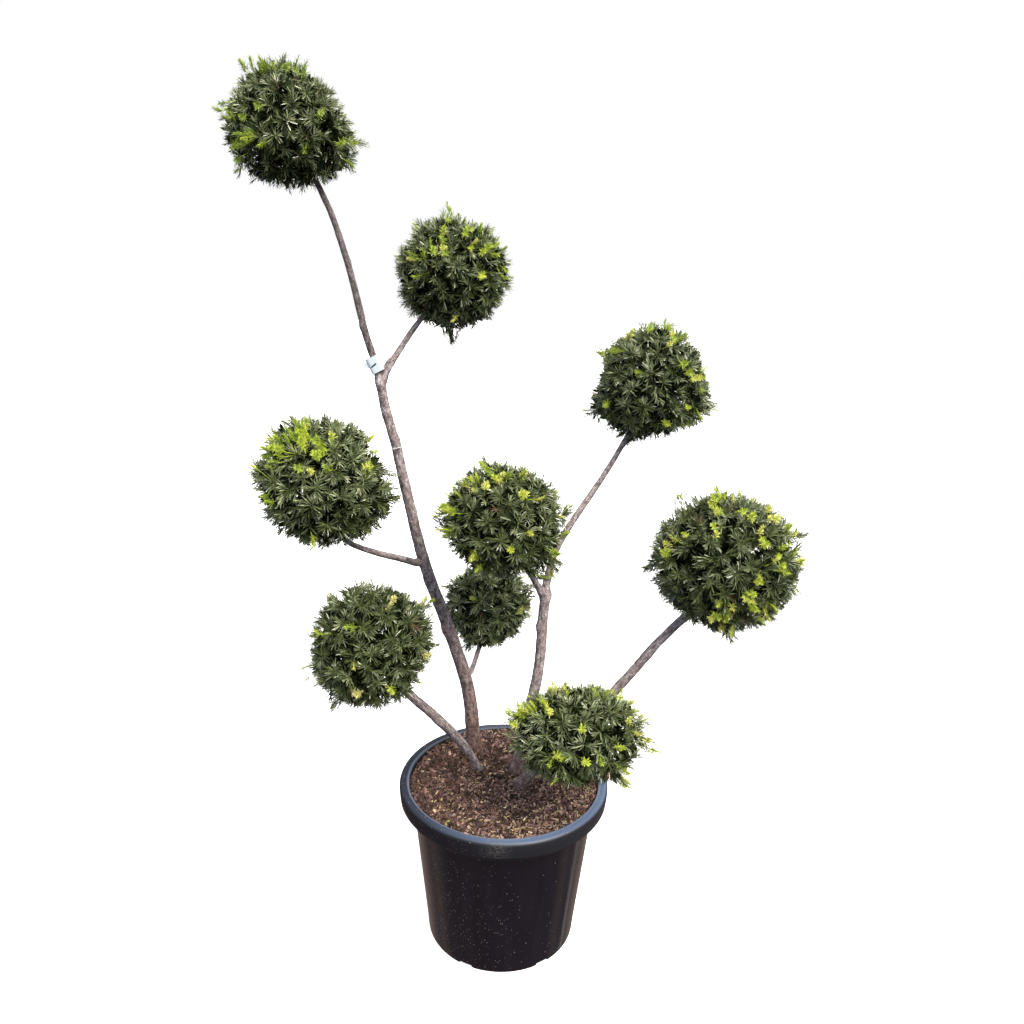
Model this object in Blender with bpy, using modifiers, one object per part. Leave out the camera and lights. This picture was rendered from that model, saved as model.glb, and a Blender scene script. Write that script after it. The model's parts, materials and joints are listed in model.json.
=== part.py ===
"""A cloud-pruned yew: nine clipped balls of foliage on four bare stems, in its round nursery pot.

Units are metres and +Z is up. The origin is the middle of the pot's flat underside, where it
stands on the ground. The plant faces -Y: +X is its right-hand side and +Y its back.
"""

import math

import bmesh
import bpy
from mathutils import Vector, noise

# Everything that touches keeps this gap, so that no two solids share a face.
GAP = 0.0003

# The pot: a 50-litre container, 3 mm of plastic all over. Its rim is a flat ledge that rolls
# over into a collar, and its wall tapers from the shoulder under the rim down to the foot.
POT_HEIGHT = 0.413
RIM_RADIUS = 0.250
RIM_ROLL = 0.012
COLLAR_HEIGHT = 0.041
COLLAR_DRAW = 0.0025
MOUTH_RADIUS = 0.2285
MOUTH_ROUND = 0.006
SHOULDER_RADIUS = 0.2185
SHOULDER_DEPTH = 0.050
SHOULDER_RISE = 0.005
SHOULDER_DRAW = 0.002
FOOT_RADIUS = 0.180
FOOT_ROUND = 0.010
POT_WALL = 0.003
FLOOR = 0.004
POT_STEPS = 40
NOTCHES = 6
NOTCH_WIDTH = 0.040
NOTCH_HEIGHT = 0.009
NOTCH_DEPTH = 0.022
NOTCH_TURN = math.radians(-56)

# The compost fills the pot to 15 mm under its rim, and the stems stand on it there.
GROUND = 0.398
FLARE_HEIGHT = 0.030
FLARE = 0.38
RUN_ON = 0.06
SPAN_STEP = 0.035

# Limbs: the points that a limb's centre line passes through. A stem starts on the compost, and a
# bough on the centre line of the limb that carries it.
LEFT_FORK = Vector((-0.287, 0.040, 1.370))
MIDDLE_FORK = Vector((0.085, 0.050, 0.882))
LEFT_FOOT = Vector((-0.076, 0.115, GROUND))
FRONT_FOOT = Vector((-0.049, 0.028, GROUND))
MIDDLE_FOOT = Vector((0.025, 0.018, GROUND))
RIGHT_FOOT = Vector((0.027, -0.039, GROUND))

STEM_LEFT = [LEFT_FOOT, (-0.093, 0.102, 0.589), (-0.141, 0.086, 0.761), (-0.193, 0.067, 0.922),
             (-0.228, 0.052, 1.080), (-0.256, 0.045, 1.220), (-0.277, 0.041, 1.297), LEFT_FORK]
LEADER = [LEFT_FORK, (-0.317, 0.045, 1.456), (-0.346, 0.050, 1.580), (-0.383, 0.055, 1.697),
          (-0.420, 0.060, 1.772)]
BOUGH_UPPER = [(-0.283, 0.041, 1.358), (-0.251, 0.070, 1.412), (-0.217, 0.110, 1.465),
               (-0.188, 0.132, 1.503)]
BOUGH_LEFT = [(-0.190, 0.068, 0.920), (-0.226, 0.047, 0.944), (-0.286, -0.020, 0.985),
              (-0.335, -0.075, 1.024), (-0.358, -0.098, 1.056)]
BOUGH_BACK = [(-0.093, 0.098, 0.622), (-0.079, 0.122, 0.655), (-0.062, 0.155, 0.705)]
STEM_FRONT = [FRONT_FOOT, (-0.106, 0.000, 0.508), (-0.170, -0.042, 0.605), (-0.200, -0.060, 0.644),
              (-0.250, -0.093, 0.718)]
STEM_MIDDLE = [MIDDLE_FOOT, (0.050, 0.026, 0.548), (0.074, 0.035, 0.681), (0.081, 0.047, 0.827),
               MIDDLE_FORK]
BOUGH_RIGHT = [MIDDLE_FORK, (0.099, 0.068, 0.957), (0.142, 0.092, 1.034), (0.214, 0.130, 1.138),
               (0.276, 0.160, 1.243)]
BOUGH_CENTRE = [(0.084, 0.048, 0.862), (0.063, 0.030, 0.904), (0.029, -0.010, 0.974),
                (0.020, -0.020, 0.995)]
STEM_RIGHT = [RIGHT_FOOT, (0.052, -0.045, 0.444), (0.129, -0.040, 0.529), (0.264, -0.018, 0.679),
              (0.337, -0.006, 0.773), (0.412, 0.006, 0.853)]
BOUGH_FRONT = [(0.084, -0.045, 0.480), (0.105, -0.085, 0.520), (0.130, -0.125, 0.580)]

# Each limb's width where it starts and at its tip. A stem also flares at its foot.
LIMB_WIDTHS = {
    "stem_left": (0.0340, 0.0195),
    "stem_front": (0.0250, 0.0205),
    "stem_middle": (0.0270, 0.0235),
    "stem_right": (0.0255, 0.0185),
    "leader": (0.0168, 0.0112),
    "bough_upper": (0.0150, 0.0115),
    "bough_left": (0.0150, 0.0105),
    "bough_back": (0.0135, 0.0120),
    "bough_right": (0.0170, 0.0120),
    "bough_centre": (0.0165, 0.0130),
    "bough_front": (0.0150, 0.0120),
}

# Balls: centre, mean radius, how deep and how high for that width, then the lobes that make
# its own outline: bearing round the front view (0 right, 90 up), how far out or in as a share
# of the radius, and how wide, both angles in degrees.
BALLS = {
    "foliage_top": ((-0.463, 0.060, 1.853), 0.131, 1.00, 0.93,
                    [(20, -0.09, 18), (62, -0.10, 16), (100, 0.11, 20), (140, -0.06, 16),
                     (258, -0.08, 16), (332, 0.17, 22)]),
    "foliage_upper": ((-0.137, 0.150, 1.577), 0.130, 1.00, 0.95,
                      [(40, -0.08, 16), (76, -0.12, 14), (100, 0.12, 16), (160, 0.06, 14),
                       (320, -0.07, 18)]),
    "foliage_right_upper": ((0.316, 0.180, 1.341), 0.139, 1.00, 0.99,
                            [(20, -0.10, 26), (172, -0.14, 18), (202, 0.20, 14),
                             (240, 0.12, 16), (284, -0.23, 18), (335, 0.17, 22)]),
    "foliage_left": ((-0.383, -0.120, 1.172), 0.138, 1.05, 0.97,
                     [(352, 0.22, 18), (26, -0.36, 22), (130, 0.07, 25), (212, -0.11, 25),
                      (282, -0.11, 14), (325, 0.08, 16)]),
    "foliage_centre": ((-0.014, -0.060, 1.081), 0.136, 1.00, 0.89,
                       [(5, 0.04, 12), (22, -0.11, 14), (180, 0.13, 16), (221, -0.23, 16),
                        (320, 0.07, 16)]),
    "foliage_right": ((0.486, 0.020, 0.971), 0.168, 1.00, 0.94,
                      [(80, -0.07, 14), (100, 0.04, 14), (160, 0.05, 20), (240, -0.11, 16),
                       (280, 0.12, 14)]),
    "foliage_back": ((-0.050, 0.180, 0.783), 0.109, 1.00, 0.94,
                     [(20, 0.10, 16), (260, 0.10, 14), (302, -0.15, 16), (340, -0.09, 14)]),
    "foliage_lower_left": ((-0.292, -0.120, 0.812), 0.136, 1.00, 1.00,
                           [(40, 0.06, 25), (80, -0.15, 16), (120, 0.06, 14), (168, -0.08, 18),
                            (200, 0.13, 14), (240, 0.16, 14), (330, -0.09, 20)]),
    "foliage_front": ((0.157, -0.180, 0.645), 0.151, 0.85, 0.65,
                      [(40, 0.04, 20), (100, -0.05, 16), (145, 0.05, 20), (318, 0.11, 14),
                       (342, -0.07, 14)]),
}
BALL_DIVISIONS = 3
LUMP = 0.020
LUMP_SIZE = 1.9

# The blank label is a loop of tape that rests on the left fork, with the slit its tail went
# through. It is wider than the leader, and hangs a little to its left and front.
LABEL_HEIGHT = 1.393
LABEL_TALL = 0.030
LABEL_RADIUS = 0.0113
LABEL_THICK = 0.0008
LABEL_SLACK = 0.0015
SLIT_LENGTH = 0.015
SLIT_WIDTH = 0.0024
SLIT_TURN = math.radians(-16)

# A pale tie is pulled tight round the left stem.
TIE_HEIGHT = 1.209
TIE_THICK = 0.0016

EBONY_PLASTIC = ("pot_plastic", (0.013, 0.013, 0.016), 0.42)
BARK = ("yew_bark", (0.19, 0.14, 0.125), 0.86)
NEEDLES = ("yew_needles", (0.030, 0.065, 0.014), 0.55)
BARK_COMPOST = ("bark_compost", (0.062, 0.036, 0.024), 0.95)
LABEL_FILM = ("label_film", (0.80, 0.84, 0.86), 0.40)


# ---- Scene and small helpers

def clear_scene():
    for old in list(bpy.data.objects):
        bpy.data.objects.remove(old, do_unlink=True)


def collection(name, shown):
    made = bpy.data.collections.new(name)
    bpy.context.scene.collection.children.link(made)
    made.hide_render = not shown
    return made


def material(name, colour, roughness):
    made = bpy.data.materials.get(name)
    if made is None:
        made = bpy.data.materials.new(name)
        made.use_nodes = True
        shader = made.node_tree.nodes["Principled BSDF"]
        shader.inputs["Base Color"].default_value = (*colour, 1.0)
        shader.inputs["Roughness"].default_value = roughness
        shader.inputs["Metallic"].default_value = 0.0
    return made


def add_object(name, mesh, finish, group):
    obj = bpy.data.objects.new(name, mesh)
    if finish:
        mesh.materials.clear()
        mesh.materials.append(material(*finish))
    group.objects.link(obj)
    if group == CUTTERS:
        obj.hide_render = True
        obj.display_type = "WIRE"
    return obj


def cut(obj, *tools):
    """Takes each tool away from the object."""
    for tool in tools:
        boolean = obj.modifiers.new("cut " + tool.name, "BOOLEAN")
        boolean.operation = "DIFFERENCE"
        boolean.object = tool


def shade(mesh):
    mesh.shade_smooth()
    mesh.set_sharp_from_angle(angle=math.radians(35))


# ---- Turned pieces

def turned(name, profile, finish):
    """A solid of revolution about Z. The profile's (radius, height) points run down its outside."""
    mesh = bpy.data.meshes.new(name)
    points = [(radius, 0.0, height) for radius, height in profile]
    mesh.from_pydata(points, [(i, i + 1) for i in range(len(points) - 1)], [])
    obj = add_object(name, mesh, finish, PARTS)
    screw = obj.modifiers.new("turn", "SCREW")
    screw.axis = "Z"
    screw.angle = math.tau
    screw.steps = screw.render_steps = POT_STEPS
    screw.use_merge_vertices = True
    screw.merge_threshold = 0.0001
    return obj


def wall_radius(height):
    """The outside of the pot's wall: a straight taper up to the shoulder under the rim."""
    share = height / (POT_HEIGHT - SHOULDER_DEPTH)
    return FOOT_RADIUS + (SHOULDER_RADIUS - FOOT_RADIUS) * share


def make_pot():
    top = POT_HEIGHT
    step = top - SHOULDER_DEPTH
    collar = top - COLLAR_HEIGHT
    inner_mouth = MOUTH_RADIUS - POT_WALL
    lip = RIM_RADIUS - COLLAR_DRAW
    inside = [
        (0.0, FLOOR),
        (FOOT_RADIUS - FOOT_ROUND, FLOOR),
        (FOOT_RADIUS - POT_WALL, FLOOR + MOUTH_ROUND),
        (SHOULDER_RADIUS - POT_WALL, step),
        (inner_mouth - SHOULDER_DRAW, step + SHOULDER_RISE),
        (inner_mouth, top - 1.5 * MOUTH_ROUND),
        (inner_mouth + MOUTH_ROUND / 2, top - MOUTH_ROUND / 3),
        (inner_mouth + 1.5 * MOUTH_ROUND, top),
    ]
    rim = [
        (RIM_RADIUS - 0.7 * RIM_ROLL, top),
        (RIM_RADIUS - 0.2 * RIM_ROLL, top - 0.4 * RIM_ROLL),
        (RIM_RADIUS, top - RIM_ROLL),
        (lip, collar),
        (lip - POT_WALL, collar),
        (RIM_RADIUS - POT_WALL, top - RIM_ROLL),
        (RIM_RADIUS - 0.85 * RIM_ROLL, top - POT_WALL),
        (MOUTH_RADIUS + MOUTH_ROUND, top - POT_WALL),
    ]
    outside = [
        (MOUTH_RADIUS, top - POT_WALL - MOUTH_ROUND),
        (MOUTH_RADIUS - SHOULDER_DRAW, step + SHOULDER_RISE - GAP),
        (SHOULDER_RADIUS, step),
        (wall_radius(FOOT_ROUND), FOOT_ROUND),
        (FOOT_RADIUS - FOOT_ROUND / 5, 0.0),
        (0.0, 0.0),
    ]
    pot = turned("pot", inside + rim + outside, EBONY_PLASTIC)
    for number in range(NOTCHES):
        cut(pot, make_notch(number))


def make_notch(number):
    """The block that leaves one drain opening in the bottom corner of the pot."""
    turn = NOTCH_TURN + math.tau * number / NOTCHES
    middle = FOOT_RADIUS - NOTCH_DEPTH / 4
    bm = bmesh.new()
    bmesh.ops.create_cube(bm, size=1.0)
    bmesh.ops.scale(bm, verts=bm.verts, vec=(NOTCH_DEPTH, NOTCH_WIDTH, 2 * NOTCH_HEIGHT))
    mesh = bpy.data.meshes.new("notch")
    bm.to_mesh(mesh)
    bm.free()
    notch = add_object("notch_%d" % number, mesh, None, CUTTERS)
    notch.location = (middle * math.cos(turn), middle * math.sin(turn), 0.0)
    notch.rotation_euler = (0.0, 0.0, turn)
    return notch


def make_compost():
    """The plug of compost fills the pot, GAP clear of its wall, up to the level of the ground."""
    step = POT_HEIGHT - SHOULDER_DEPTH
    side = POT_WALL + GAP
    brim = MOUTH_RADIUS - side - SHOULDER_DRAW / 2
    turned("compost", [
        (0.0, GROUND),
        (brim - MOUTH_ROUND, GROUND),
        (brim, GROUND - MOUTH_ROUND),
        (MOUTH_RADIUS - side - SHOULDER_DRAW, step + SHOULDER_RISE),
        (SHOULDER_RADIUS - side, step),
        (FOOT_RADIUS - side, FLOOR + MOUTH_ROUND + GAP),
        (FOOT_RADIUS - FOOT_ROUND - GAP, FLOOR + GAP),
        (0.0, FLOOR + GAP),
    ], BARK_COMPOST)


# ---- Limbs

def smooth_route(points):
    """Points along the Catmull-Rom curve through the given ones, about SPAN_STEP apart."""
    points = [Vector(point) for point in points]
    ends = [2 * points[0] - points[1]] + points + [2 * points[-1] - points[-2]]
    route = []
    for before, start, end, after in zip(ends, ends[1:], ends[2:], ends[3:]):
        count = max(2, round((end - start).length / SPAN_STEP))
        for index in range(count):
            t = index / count
            route.append(0.5 * (2 * start + (end - before) * t
                                + (2 * before - 5 * start + 4 * end - after) * t * t
                                + (3 * start - before - 3 * end + after) * t ** 3))
    return route + [points[-1]]


def widths_along(route, start_width, tip_width, flare):
    """The limb's width at each point: an even taper, wider just over the ground."""
    lengths = [0.0]
    for before, after in zip(route, route[1:]):
        lengths.append(lengths[-1] + (after - before).length)
    widths = []
    for point, length in zip(route, lengths):
        width = start_width + (tip_width - start_width) * length / lengths[-1]
        if flare:
            width *= 1 + FLARE * math.exp(-max(0.0, point.z - GROUND) / FLARE_HEIGHT)
        widths.append(width)
    return widths


def run_on(route, widths, at_start, at_tip):
    """Carries a limb straight on past an end that a plane trims."""
    if at_start:
        route = [route[0] + (route[0] - route[1]).normalized() * RUN_ON] + route
        widths = widths[:1] + widths
    if at_tip:
        route = route + [route[-1] + (route[-1] - route[-2]).normalized() * RUN_ON]
        widths = widths + widths[-1:]
    return route, widths


def tube_mesh(name, route, widths, sides):
    """A closed tube through the route, as a mesh with its caps welded on."""
    curve = bpy.data.curves.new(name, "CURVE")
    curve.dimensions = "3D"
    curve.bevel_depth = 1.0
    curve.bevel_resolution = sides // 2 - 2
    curve.use_fill_caps = True
    spline = curve.splines.new("POLY")
    spline.points.add(len(route) - 1)
    for point, place, width in zip(spline.points, route, widths):
        point.co = (*place, 1.0)
        point.radius = width / 2
    guide = bpy.data.objects.new(name, curve)
    bpy.context.scene.collection.objects.link(guide)
    graph = bpy.context.evaluated_depsgraph_get()
    mesh = bpy.data.meshes.new_from_object(guide.evaluated_get(graph))
    bpy.data.objects.remove(guide)
    return mesh


def trim(bm, place, normal):
    """Cuts off what lies on the side the normal points away from, and closes the cut flat."""
    bmesh.ops.bisect_plane(bm, geom=bm.verts[:] + bm.edges[:] + bm.faces[:], dist=1e-6,
                           plane_co=place, plane_no=normal, clear_inner=True)
    bmesh.ops.holes_fill(bm, edges=[edge for edge in bm.edges if edge.is_boundary])
    bmesh.ops.recalc_face_normals(bm, faces=bm.faces)


def limb(name, points, start_width, tip_width, grown=False, foot=False, start=None, tip=None,
         sides=8):
    """One tapering limb. Foot stands it on the compost; start and tip are planes that trim it.

    A grown limb is GAP wider all round: it is the tool that seats another solid on this one.
    """
    extra = 2 * GAP if grown else 0.0
    route = smooth_route(points)
    widths = widths_along(route, start_width, tip_width, foot)
    widths = [width + extra for width in widths]
    route, widths = run_on(route, widths, foot or bool(start), bool(tip))
    mesh = tube_mesh(name, route, widths, sides)
    bm = bmesh.new()
    bm.from_mesh(mesh)
    bmesh.ops.remove_doubles(bm, verts=bm.verts, dist=0.0001)
    if foot:
        trim(bm, (0.0, 0.0, GROUND + GAP), (0.0, 0.0, 1.0))
    if start:
        trim(bm, start[0] + start[1] * (GAP if not grown else 0.0), start[1])
    if tip:
        trim(bm, tip[0] + tip[1] * (GAP if grown else 0.0), -tip[1])
    bm.to_mesh(mesh)
    bm.free()
    shade(mesh)
    group = CUTTERS if grown else PARTS
    return add_object(name + "_seat" if grown else name, mesh, BARK, group)


def way(below, above):
    """The direction of growth through a fork, which sets the plane where two limbs meet."""
    return (Vector(above) - Vector(below)).normalized()


def make_limbs():
    """All the limbs, each cut to seat on the one that carries it; returns the seats by name."""
    left_plane = (LEFT_FORK, way(STEM_LEFT[-2], LEADER[1]))
    middle_plane = (MIDDLE_FORK, way(STEM_MIDDLE[-2], BOUGH_RIGHT[1]))
    ends = {
        "stem_left": (STEM_LEFT, {"foot": True, "tip": left_plane, "sides": 10}),
        "stem_front": (STEM_FRONT, {"foot": True}),
        "stem_middle": (STEM_MIDDLE, {"foot": True, "tip": middle_plane}),
        "stem_right": (STEM_RIGHT, {"foot": True}),
        "leader": (LEADER, {"start": left_plane}),
        "bough_upper": (BOUGH_UPPER, {}),
        "bough_left": (BOUGH_LEFT, {}),
        "bough_back": (BOUGH_BACK, {}),
        "bough_right": (BOUGH_RIGHT, {"start": middle_plane}),
        "bough_centre": (BOUGH_CENTRE, {}),
        "bough_front": (BOUGH_FRONT, {}),
    }
    made = {}
    seats = {}
    for name, (points, options) in ends.items():
        made[name] = limb(name, points, *LIMB_WIDTHS[name], **options)
        seats[name] = limb(name, points, *LIMB_WIDTHS[name], grown=True, **options)
    cut(made["bough_upper"], seats["stem_left"], seats["leader"])
    cut(made["bough_left"], seats["stem_left"])
    cut(made["bough_back"], seats["stem_left"])
    cut(made["bough_centre"], seats["stem_middle"], seats["bough_right"])
    cut(made["bough_front"], seats["stem_right"])
    return seats


# ---- Balls of foliage

def lobe_reach(direction, lobes):
    """How far the outline stands out or in along a direction, as a share of the radius."""
    reach = 0.0
    for bearing, amount, spread in lobes:
        towards = Vector((math.cos(math.radians(bearing)), 0.0, math.sin(math.radians(bearing))))
        off = math.degrees(direction.angle(towards))
        reach += amount * math.exp(-((off / spread) ** 2))
    return reach


def foliage(name, centre, radius, deep, high, lobes, *seats):
    """One clipped ball: a sphere pushed out and in by its lobes and by small uneven lumps."""
    bm = bmesh.new()
    bmesh.ops.create_icosphere(bm, subdivisions=BALL_DIVISIONS, radius=1.0)
    shift = Vector(centre) * 10
    for vert in bm.verts:
        direction = vert.co.normalized()
        lump = LUMP * noise.noise(direction * LUMP_SIZE + shift)
        reach = radius * (1 + lobe_reach(direction, lobes) + lump)
        shape = Vector((direction.x, direction.y * deep, direction.z * high))
        vert.co = Vector(centre) + shape * reach
    mesh = bpy.data.meshes.new(name)
    bm.to_mesh(mesh)
    bm.free()
    mesh.shade_smooth()
    ball = add_object(name, mesh, NEEDLES, PARTS)
    cut(ball, *seats)


# ---- Label and tie

def limb_at(points, widths, height):
    """The centre, the direction and the width of a limb where it reaches a height."""
    route = smooth_route(points)
    along = widths_along(route, *widths, False)
    for index, (before, after) in enumerate(zip(route, route[1:])):
        if after.z >= height:
            share = (height - before.z) / (after.z - before.z)
            width = along[index] + (along[index + 1] - along[index]) * share
            return before.lerp(after, share), (after - before).normalized(), width


def ring_mesh(name, inner, outer, tall, steps):
    """A flat-walled ring about Z, with its middle at the origin."""
    bm = bmesh.new()
    turns = [math.tau * step / steps for step in range(steps)]
    corners = [(inner, -tall / 2), (outer, -tall / 2), (outer, tall / 2), (inner, tall / 2)]
    loops = []
    for radius, height in corners:
        loops.append([bm.verts.new((radius * math.cos(turn), radius * math.sin(turn), height))
                      for turn in turns])
    for here, there in zip(loops, loops[1:] + loops[:1]):
        for step in range(steps):
            after = (step + 1) % steps
            bm.faces.new((here[step], here[after], there[after], there[step]))
    bmesh.ops.recalc_face_normals(bm, faces=bm.faces)
    mesh = bpy.data.meshes.new(name)
    bm.to_mesh(mesh)
    bm.free()
    return mesh


def make_label():
    middle, direction, _ = limb_at(LEADER, LIMB_WIDTHS["leader"], LABEL_HEIGHT)
    mesh = ring_mesh("label", LABEL_RADIUS - LABEL_THICK, LABEL_RADIUS, LABEL_TALL, 20)
    label = add_object("label", mesh, LABEL_FILM, PARTS)
    label.rotation_euler = direction.to_track_quat("Z", "Y").to_euler()
    label.location = middle - Vector((LABEL_SLACK, LABEL_SLACK / 2, 0.0))
    cut(label, make_slit(label))


def make_slit(label):
    """The block that opens the slit in the front of the label."""
    bm = bmesh.new()
    bmesh.ops.create_cube(bm, size=1.0)
    bmesh.ops.scale(bm, verts=bm.verts, vec=(SLIT_LENGTH, 2 * LABEL_RADIUS, SLIT_WIDTH))
    mesh = bpy.data.meshes.new("slit")
    bm.to_mesh(mesh)
    bm.free()
    slit = add_object("slit", mesh, None, CUTTERS)
    slit.rotation_euler = (0.0, SLIT_TURN, 0.0)
    slit.location = (0.0, -LABEL_RADIUS, 0.0)
    slit.parent = label
    return slit


def make_tie():
    middle, direction, width = limb_at(STEM_LEFT, LIMB_WIDTHS["stem_left"], TIE_HEIGHT)
    inner = width / 2 + 2 * GAP
    mesh = ring_mesh("tie", inner, inner + TIE_THICK, TIE_THICK, 16)
    tie = add_object("tie", mesh, LABEL_FILM, PARTS)
    tie.rotation_euler = direction.to_track_quat("Z", "Y").to_euler()
    tie.location = middle


# ---- The whole plant

clear_scene()
PARTS = collection("cloud_pruned_yew", shown=True)
CUTTERS = collection("cutters", shown=False)
make_pot()
make_compost()
SEATS = make_limbs()
ENTERS = {
    "foliage_top": ("leader",),
    "foliage_upper": ("bough_upper",),
    "foliage_right_upper": ("bough_right",),
    "foliage_left": ("bough_left",),
    "foliage_centre": ("bough_centre",),
    "foliage_right": ("stem_right",),
    "foliage_back": ("bough_back",),
    "foliage_lower_left": ("stem_front",),
    "foliage_front": ("bough_front", "stem_right"),
}
for ball, (centre, radius, deep, high, lobes) in BALLS.items():
    foliage(ball, centre, radius, deep, high, lobes, *[SEATS[name] for name in ENTERS[ball]])
make_label()
make_tie()
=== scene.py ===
# %% [markdown]
# # A cloud-pruned yew in its nursery pot
#
# The plant is a yew that has been trained for years: four bare stems rise from one round pot, and
# nine clipped balls of foliage sit at their ends. A plain model of it is loaded first. It fixes
# where everything is and how big it is, and this notebook then gives every part its real look:
# bark with its relief, twigs that branch, some two hundred thousand needles, loose compost, and
# the worn plastic of the pot.
#
# Units are metres and +Z is up. The front of the plant faces -Y.

# %% Load the plain model
import json
import math

import bmesh
import bpy
import numpy as np
from mathutils import Matrix, Vector, noise
from mathutils.bvhtree import BVHTree

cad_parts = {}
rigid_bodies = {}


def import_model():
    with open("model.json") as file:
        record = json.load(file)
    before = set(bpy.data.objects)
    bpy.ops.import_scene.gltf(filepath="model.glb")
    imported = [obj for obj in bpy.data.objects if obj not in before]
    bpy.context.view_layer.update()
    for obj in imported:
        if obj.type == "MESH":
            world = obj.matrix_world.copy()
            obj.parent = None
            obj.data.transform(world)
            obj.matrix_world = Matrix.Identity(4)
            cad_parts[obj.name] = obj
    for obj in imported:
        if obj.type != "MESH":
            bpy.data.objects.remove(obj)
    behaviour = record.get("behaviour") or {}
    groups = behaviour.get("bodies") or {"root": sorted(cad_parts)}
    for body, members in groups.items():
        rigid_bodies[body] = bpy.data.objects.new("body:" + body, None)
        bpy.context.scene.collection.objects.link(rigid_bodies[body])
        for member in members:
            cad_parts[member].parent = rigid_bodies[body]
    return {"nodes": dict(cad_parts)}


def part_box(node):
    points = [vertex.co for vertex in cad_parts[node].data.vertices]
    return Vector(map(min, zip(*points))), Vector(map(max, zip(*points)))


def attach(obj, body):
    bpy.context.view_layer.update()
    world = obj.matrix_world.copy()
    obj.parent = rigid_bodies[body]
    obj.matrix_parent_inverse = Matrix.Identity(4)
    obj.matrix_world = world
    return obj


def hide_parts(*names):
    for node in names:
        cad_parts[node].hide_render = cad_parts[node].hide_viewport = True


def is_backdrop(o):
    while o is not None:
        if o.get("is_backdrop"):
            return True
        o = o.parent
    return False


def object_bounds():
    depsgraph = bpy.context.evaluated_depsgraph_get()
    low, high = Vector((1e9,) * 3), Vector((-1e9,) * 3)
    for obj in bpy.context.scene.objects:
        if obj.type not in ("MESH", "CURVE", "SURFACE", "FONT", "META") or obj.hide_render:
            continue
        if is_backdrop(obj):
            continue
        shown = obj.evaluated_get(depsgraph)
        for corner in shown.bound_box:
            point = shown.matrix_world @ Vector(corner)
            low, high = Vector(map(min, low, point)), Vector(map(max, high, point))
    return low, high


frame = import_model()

CAD_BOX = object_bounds()
print("loaded", len(frame["nodes"]), "solids, from", CAD_BOX[0][:], "to", CAD_BOX[1][:])

# %% [markdown]
# ## The camera
#
# A phone held at head height looks slightly down at the pot, and is tipped a little to one side.
# Its three axes are worked out from those two angles, so the roll needs no second rotation.

# %% Camera
EYE = Vector((0.004, -1.882, 1.668))
LOOK_DOWN = math.radians(17.3)
ROLL = math.radians(1.41)
LENS_SHARE = 900 / 1024    # focal length over the width of the picture


def new_object(name, data):
    obj = bpy.data.objects.new(name, data)
    bpy.context.scene.collection.objects.link(obj)
    return obj


def aim_camera():
    data = bpy.data.cameras.new("camera")
    data.lens = LENS_SHARE * data.sensor_width
    forward = Vector((0.0, math.cos(LOOK_DOWN), -math.sin(LOOK_DOWN)))
    level = Vector((1.0, 0.0, 0.0))
    up = level.cross(forward)
    across = level * math.cos(ROLL) + up * math.sin(ROLL)
    upright = up * math.cos(ROLL) - level * math.sin(ROLL)
    camera = new_object("camera", data)
    camera.matrix_world = Matrix((across, upright, -forward)).transposed().to_4x4()
    camera.location = EYE
    bpy.context.scene.camera = camera
    print("camera", round(EYE.z, 2), "m up, lens", round(data.lens, 1), "mm")


aim_camera()

# %% [markdown]
# ## Colours and nodes
#
# Colours are picked as they look on a screen, as sRGB hex values, and shaders work in linear
# light, so one function converts them. A second function adds a node with its settings and links,
# and serves shader trees and geometry trees alike. The rest are short names for the few kinds of
# node that every finish is made of.

# %% Helpers for colours and nodes
def linear(hex_colour):
    """An sRGB hex colour as the four linear numbers that a shader takes."""
    parts = [int(hex_colour[place:place + 2], 16) / 255 for place in (1, 3, 5)]
    return [part / 12.92 if part <= 0.04045 else ((part + 0.055) / 1.055) ** 2.4
            for part in parts] + [1.0]


def add(tree, kind, inputs=None, **settings):
    """Adds a node. Settings are its properties; inputs are values, or other nodes' outputs."""
    node = tree.nodes.new(kind)
    for name, value in settings.items():
        setattr(node, name, value)
    for key, value in (inputs or {}).items():
        if isinstance(value, bpy.types.NodeSocket):
            tree.links.new(value, node.inputs[key])
        else:
            node.inputs[key].default_value = value
    return node


def finish_of(name, colour, roughness, **sockets):
    """A material of one Principled shader. Sockets are its other inputs, with _ for a space."""
    made = bpy.data.materials.new(name)
    made.use_nodes = True
    shader = made.node_tree.nodes["Principled BSDF"]
    shader.inputs["Base Color"].default_value = linear(colour)
    shader.inputs["Roughness"].default_value = roughness
    for key, value in sockets.items():
        shader.inputs[key.replace("_", " ")].default_value = value
    return made


def ramp(tree, factor, *stops):
    """A colour ramp through (place, hex colour) stops, and its colour output."""
    node = add(tree, "ShaderNodeValToRGB", {"Fac": factor})
    elements = node.color_ramp.elements
    while len(elements) < len(stops):
        elements.new(0.5)
    for element, (place, colour) in zip(elements, stops):
        element.position = place
        element.color = linear(colour)
    return node.outputs["Color"]


def maths(tree, how, *values):
    """The value of one Math node."""
    return add(tree, "ShaderNodeMath", dict(enumerate(values)), operation=how).outputs["Value"]


def product(tree, first, *factors):
    """Everything multiplied together, from left to right."""
    for factor in factors:
        first = maths(tree, "MULTIPLY", first, factor)
    return first


def span(tree, value, low=0.0, high=1.0, start=0.0, end=1.0):
    """A value that goes from low to high, made to go from start to end and no further."""
    return add(tree, "ShaderNodeMapRange",
               {"Value": value, "From Min": low, "From Max": high, "To Min": start,
                "To Max": end}).outputs["Result"]


def blend(tree, share, below, above, how="MIX"):
    """A colour laid over another one by a share. The upper one may be a hex colour."""
    if isinstance(above, str):
        above = linear(above)
    return add(tree, "ShaderNodeMix", {"Factor": share, "A": below, "B": above},
               data_type="RGBA", blend_type=how).outputs["Result"]


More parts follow.
